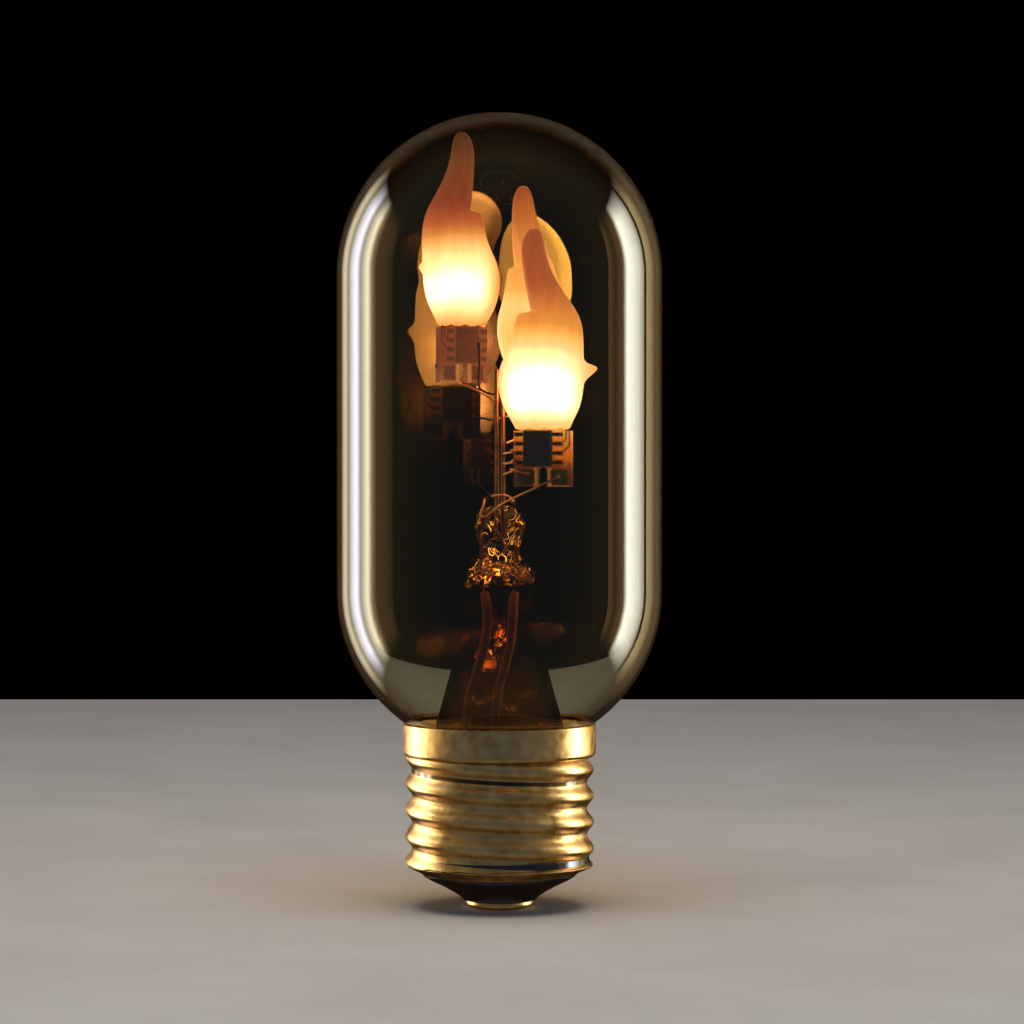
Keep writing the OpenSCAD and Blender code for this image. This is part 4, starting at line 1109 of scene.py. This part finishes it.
def thin_wires():
    """The feeds and the links of the boards, each with a bead at its start in the wire's own
    finish.
    A route is the CAD node and the paths of its wires."""
    beside = WIRE_R + ROD_R + TOUCH
    face = BOARD_T / 2 + PAD_T + WIRE_R + TOUCH
    back = -BOARD_T / 2 - WIRE_R - TOUCH
    edge = BOARD_W / 2 + WIRE_R + TOUCH
    front_z, left_z, rear_z = (UNITS[u][2] for u in ("front", "left", "rear"))
    y = ROD_LEFT[1] - beside
    routes = {
        "cross_tie": ("cross_link", [[
            (LEAD_X - 2 * WIRE_R - TOUCH, 0, LEAD_TOP - 0.3), (1.4, -0.9, LEAD_TOP + 0.3),
            (0.4, -1.3, LEAD_TOP + 0.6), (ROD_LEFT[0] - 0.3, y, LEAD_TOP + 0.5),
            (-1.1, y - 0.1, LEAD_TOP + 0.4)]]),
        "front_feed": ("front_feed_wire", [[
            spot("front", PAD_X, face, 1.35), spot("front", 0.9, face + 0.3, 0.7),
            spot("front", -1.5, face, -0.45), (0.1, -4.65, STEM_TOP - 0.6),
            (-1.55, -2.75, STEM_TOP - 1.93), (-1.98, -2.45, STEM_TOP - 2.18),
            (-2.43, -2.35, STEM_TOP - 2.15), (-2.57, -2.25, STEM_TOP - 1.74),
            (-2.2, -2.05, STEM_TOP - 0.65), (-2.02, -1.25, STEM_TOP + 0.15),
            (-LEAD_X + 0.1, -2 * WIRE_R - TOUCH, LEAD_TOP - 0.3)]]),
        "front_ties": ("front_links", [
            [spot("front", -edge, 0, h), (1.8, -5, front_z + h - 0.1),
             (ROD_RIGHT[0] + 0.1, ROD_RIGHT[1] - beside, front_z + h - 0.3)]
            for h in (4.8, 3.4)
        ] + [[
            spot("front", -1.9, face, 1.8), spot("front", -3, face, 1.95),
            spot("front", -edge, 0.7, 2.3), spot("front", -edge - 0.2, -1.6, 2.2),
            (ROD_RIGHT[0] + 0.1, ROD_RIGHT[1] - beside, front_z + 1.6)]]),
        "left_feed": ("left_feed_wire", [[
            spot("left", 0.3, 0, -WIRE_R - TOUCH), (-3.2, 2.2, left_z - 1.1),
            (ROD_LEFT[0] - 0.1, ROD_LEFT[1] + beside, left_z - 2.8)]]),
        "left_ties": ("left_links", [[
            spot("left", -2.6, back, 5.4), spot("left", -2.6, back, 1.2),
            spot("left", -2.2, back - 0.5, -0.6), (-1.6, 2.6, left_z - 1.5),
            (ROD_LEFT[0] + 0.2, ROD_LEFT[1] + beside, left_z - 1.7)
        ], [
            spot("left", PAD_X, face, PAD_Z), spot("left", 3.6, face, 2),
            spot("left", edge, 0.2, 2.4)]]),
        "rear_feed": ("rear_feed_wire", [[
            spot("rear", -PAD_X, face, 1.35), (3.2, 1.4, rear_z + 0.2),
            (ROD_RIGHT[0] + beside, ROD_RIGHT[1] + 0.1, rear_z - 0.8)]]),
        "rear_ties": ("rear_links", [[
            spot("rear", -2.8, back, 3.4), (1.4, 3.2, rear_z + 3),
            (ROD_LEFT[0] + 0.1, ROD_LEFT[1] + beside, rear_z + 2.6)]]),
    }
    for name, (node, paths) in routes.items():
        parts = []
        for i, path in enumerate(paths):
            parts.append(wire(f"{name}_{i}", path, WIRE_R))
            parts.append(bead(f"{name}_end_{i}", path[0], (0.3, 0.3, 0.27)))
        piece = join(name, parts)
        dress(piece, DARK_COPPER if name == "left_ties" else COPPER, node)


# CAD nodes that keep their shape


def keep(node, material):
    """A CAD node's shape stays, and gets a better finish."""
    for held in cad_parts[node].material_slots:
        held.material = material


def kept_nodes():
    """The boards, their LEDs, pins and solder, and what stands in the cap."""
    # Colours of the boards' painted glow, from the lower edge up
    amber = [
        (0.1, "#341808"), (0.26, "#54260c"), (0.36, "#74320c"), (0.44, "#a44e12"),
        (0.52, "#c46016"), (0.6, "#d26a1c"), (0.72, "#de782a"), (0.8, "#f2943a"),
        (0.88, "#ffb458"),
    ]
    dull = [(0.1, "#8a4a2a"), (0.4, "#643018"), (0.9, "#7a3c22")]
    # Each unit's painted glow, and the colour of its painted light strips
    for unit, heights, strip_glow in (
        ("front", amber, "#90582a"), ("left", dull, "#b8783c"), ("rear", amber, "#90582a"),
    ):
        keep(f"{unit}_board", lit_laminate(unit, heights, strip_glow))
        keep(f"{unit}_leds", PHOSPHOR)
        keep(f"{unit}_chip_pins", PIN_TIN)
        keep(f"{unit}_solder", SOLDER)
    for node, material in (
        ("supply_board", SUPPLY_RESIN), ("bridge_rectifier", CHIP_EPOXY),
        ("supply_chip_pins", PIN_TIN), ("smoothing_capacitor", SHRINK), ("choke", FERRITE),
        ("fusible_resistor", LACQUER), ("live_wire", COPPER), ("neutral_wire", COPPER),
        ("neck_cement", CEMENT),
    ):
        keep(node, material)


# Floor, lamps and camera


def floor():
    """A pale floor that isn't mirrored in the glass, and looks darker the more glass it is seen
    through, because the photograph's lamp stands over a black block."""
    begin()
    bpy.ops.mesh.primitive_plane_add(size=1, location=(0, 0.02, TIP_Z * MM))
    piece = named("floor")
    piece.scale = (0.8, 0.8, 1)
    seat(piece)
    pale = mottled("pale_matt_floor", "#c9c5bf", "#d2cec8", 40, (0.75, 0.85), 0.0)
    piece.data.materials.append(pale)
    piece.visible_glossy = False
    tree = pale.node_tree
    path = add(tree, "LightPath").outputs
    bent = add(
        tree, "Math", {0: path["Transmission Depth"], 1: 0.11},
        operation="MULTIPLY", use_clamp=True,
    )
    mirrored = add(tree, "Math", {0: path["Glossy Depth"], 1: 0.5}, operation="GREATER_THAN")
    either = add(tree, "Math", {0: bent, 1: mirrored}, operation="MAXIMUM")
    black = add(tree, "BsdfDiffuse", {"Color": (0, 0, 0, 1)})
    shader = tree.nodes["Principled BSDF"]
    shown = add(tree, "MixShader", {0: either, 1: shader, 2: black})
    plug(tree, tree.nodes["Material Output"], {"Surface": shown})
    piece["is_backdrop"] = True


def area_lamp(name, place, watts):
    """A square area lamp, not seen through the glass."""
    begin()
    bpy.ops.object.light_add(type="AREA", location=place)
    lamp = bpy.context.object
    lamp.name = name
    lamp.data.energy = watts
    lamp.visible_camera = lamp.visible_transmission = False
    return lamp


def softbox(name, angle, bands, watts, lit):
    """A tall softbox half a metre from the lamp, turned from the camera's side by the angle. Its
    colour runs across it, from the viewer's left as seen from the lamp, as position and hex,
    and it lights only the pieces in lit."""
    turn = math.radians(angle)
    place = Vector((math.sin(turn), -math.cos(turn), 0)) * SOFTBOX_AWAY
    lamp = area_lamp(name, place + Vector((0, 0, SOFTBOX_UP)), watts)
    lamp.data.shape = "RECTANGLE"
    lamp.data.size, lamp.data.size_y = SOFTBOX_SIZE
    lamp.rotation_euler = (-place).to_track_quat("-Z", "Y").to_euler()
    lamp.data.use_nodes = True
    tree = lamp.data.node_tree
    where = add(tree, "NewGeometry").outputs["Parametric"]
    across, upward, _ = add(tree, "SeparateXYZ", {"Vector": where}).outputs
    fade = add(tree, "ValToRGB", {"Fac": across}, stops=bands)
    # Its light fades towards its upper and lower ends
    ends = add(
        tree, "ValToRGB", {"Fac": upward},
        stops=[(0, "#000000"), (0.16, "#ffffff"), (0.84, "#ffffff"), (1, "#000000")],
    )
    shown = add(tree, "Mix", {0: 1.0, 6: fade, 7: ends}, data_type="RGBA", blend_type="MULTIPLY")
    plug(tree, tree.nodes["Emission"], {"Color": shown.outputs[2]})
    lamp.light_linking.receiver_collection = lit


def studio():
    """Two tall softboxes a little behind the lamp, which give the bright bands down the glass,
    a weak fill from above, and a dark room."""
    # The softboxes light the bulb, the cap, the boards, the wires and the rest, and leave the
    # floor, the flames, the stem, the exhaust tube, the chips and their pins alone
    lit = bpy.data.collections.new("lit_by_softboxes")
    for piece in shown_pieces():
        if not any(word in piece.name for word in ("flame", "stem", "exhaust", "chip")):
            lit.objects.link(piece)
    softbox("left_softbox", -118, [
        (0, "#100804"), (0.15, "#080400"), (0.28, "#787060"), (0.36, "#545440"),
        (0.5, "#c8c8e0"), (0.56, "#787874"), (0.66, "#e0dccc"), (0.71, "#746c58"),
        (0.77, "#3c3020"), (1, "#282020"),
    ], 35, lit)
    softbox("right_softbox", 120, [
        (0, "#443828"), (0.103, "#201814"), (0.218, "#483828"), (0.273, "#e0e8f0"),
        (0.508, "#605c4c"), (0.516, "#181414"), (0.544, "#141010"), (0.556, "#605840"),
        (0.71, "#241c10"), (1, "#000000"),
    ], 42, lit)
    fill = area_lamp("top_fill", (0, -0.15, 0.6), 2.4)
    fill.data.size = 0.5
    fill.visible_glossy = False
    # The room is black to the eye. In reflections it is blue-grey in front, grey at the sides
    # and brown behind.
    world = bpy.data.worlds.new("dark_studio")
    world.use_nodes = True
    tree = world.node_tree
    way = add(tree, "TexCoord").outputs["Generated"]
    back = add(tree, "SeparateXYZ", {"Vector": way}).outputs["Y"]
    behind = add(tree, "MapRange", {"Value": back, "From Min": -1.0, "From Max": 1.0})
    room = add(
        tree, "ValToRGB", {"Fac": behind},
        stops=[
            (0, "#646e8e"), (0.2, "#6e7890"), (0.36, "#8a857c"), (0.5, "#8a8070"),
            (0.62, "#6a5c4c"), (0.78, "#30241a"), (1, "#2a1a10"),
        ],
    )
    mirrored = add(tree, "LightPath").outputs["Is Reflection Ray"]
    plug(tree, tree.nodes["Background"], {"Color": room, "Strength": mirrored})
    bpy.context.scene.world = world
    bpy.context.scene.view_settings.view_transform = "Standard"


def camera():
    """Level with the middle of the glass, at the photograph's distance."""
    begin()
    bpy.ops.object.camera_add(
        location=Vector((1.73, -VIEW_AWAY, 41.2)) * MM,
        rotation=(math.radians(90 - VIEW_DOWN), 0, 0),
    )
    view = bpy.context.object
    view.data.sensor_width = 36
    view.data.lens = 123.4
    bpy.context.scene.camera = view


camera()
floor()
glass_bulb()
stem()
exhaust_stub()
threaded_shell()
insulator()
contact()
contact_drop()
# How far each flame's ear is pulled out, and its light, as flame_silicone says
flame("front", 3.0, 0.0, 12, 1.5, 0.0)
flame("left", 2.4, 2.4, 3, 10, 0.9)
flame("rear", 2.6, -0.3, 2.0, 2.8, 0.35)
chips()
rods()
leads()
thin_wires()
kept_nodes()
studio()
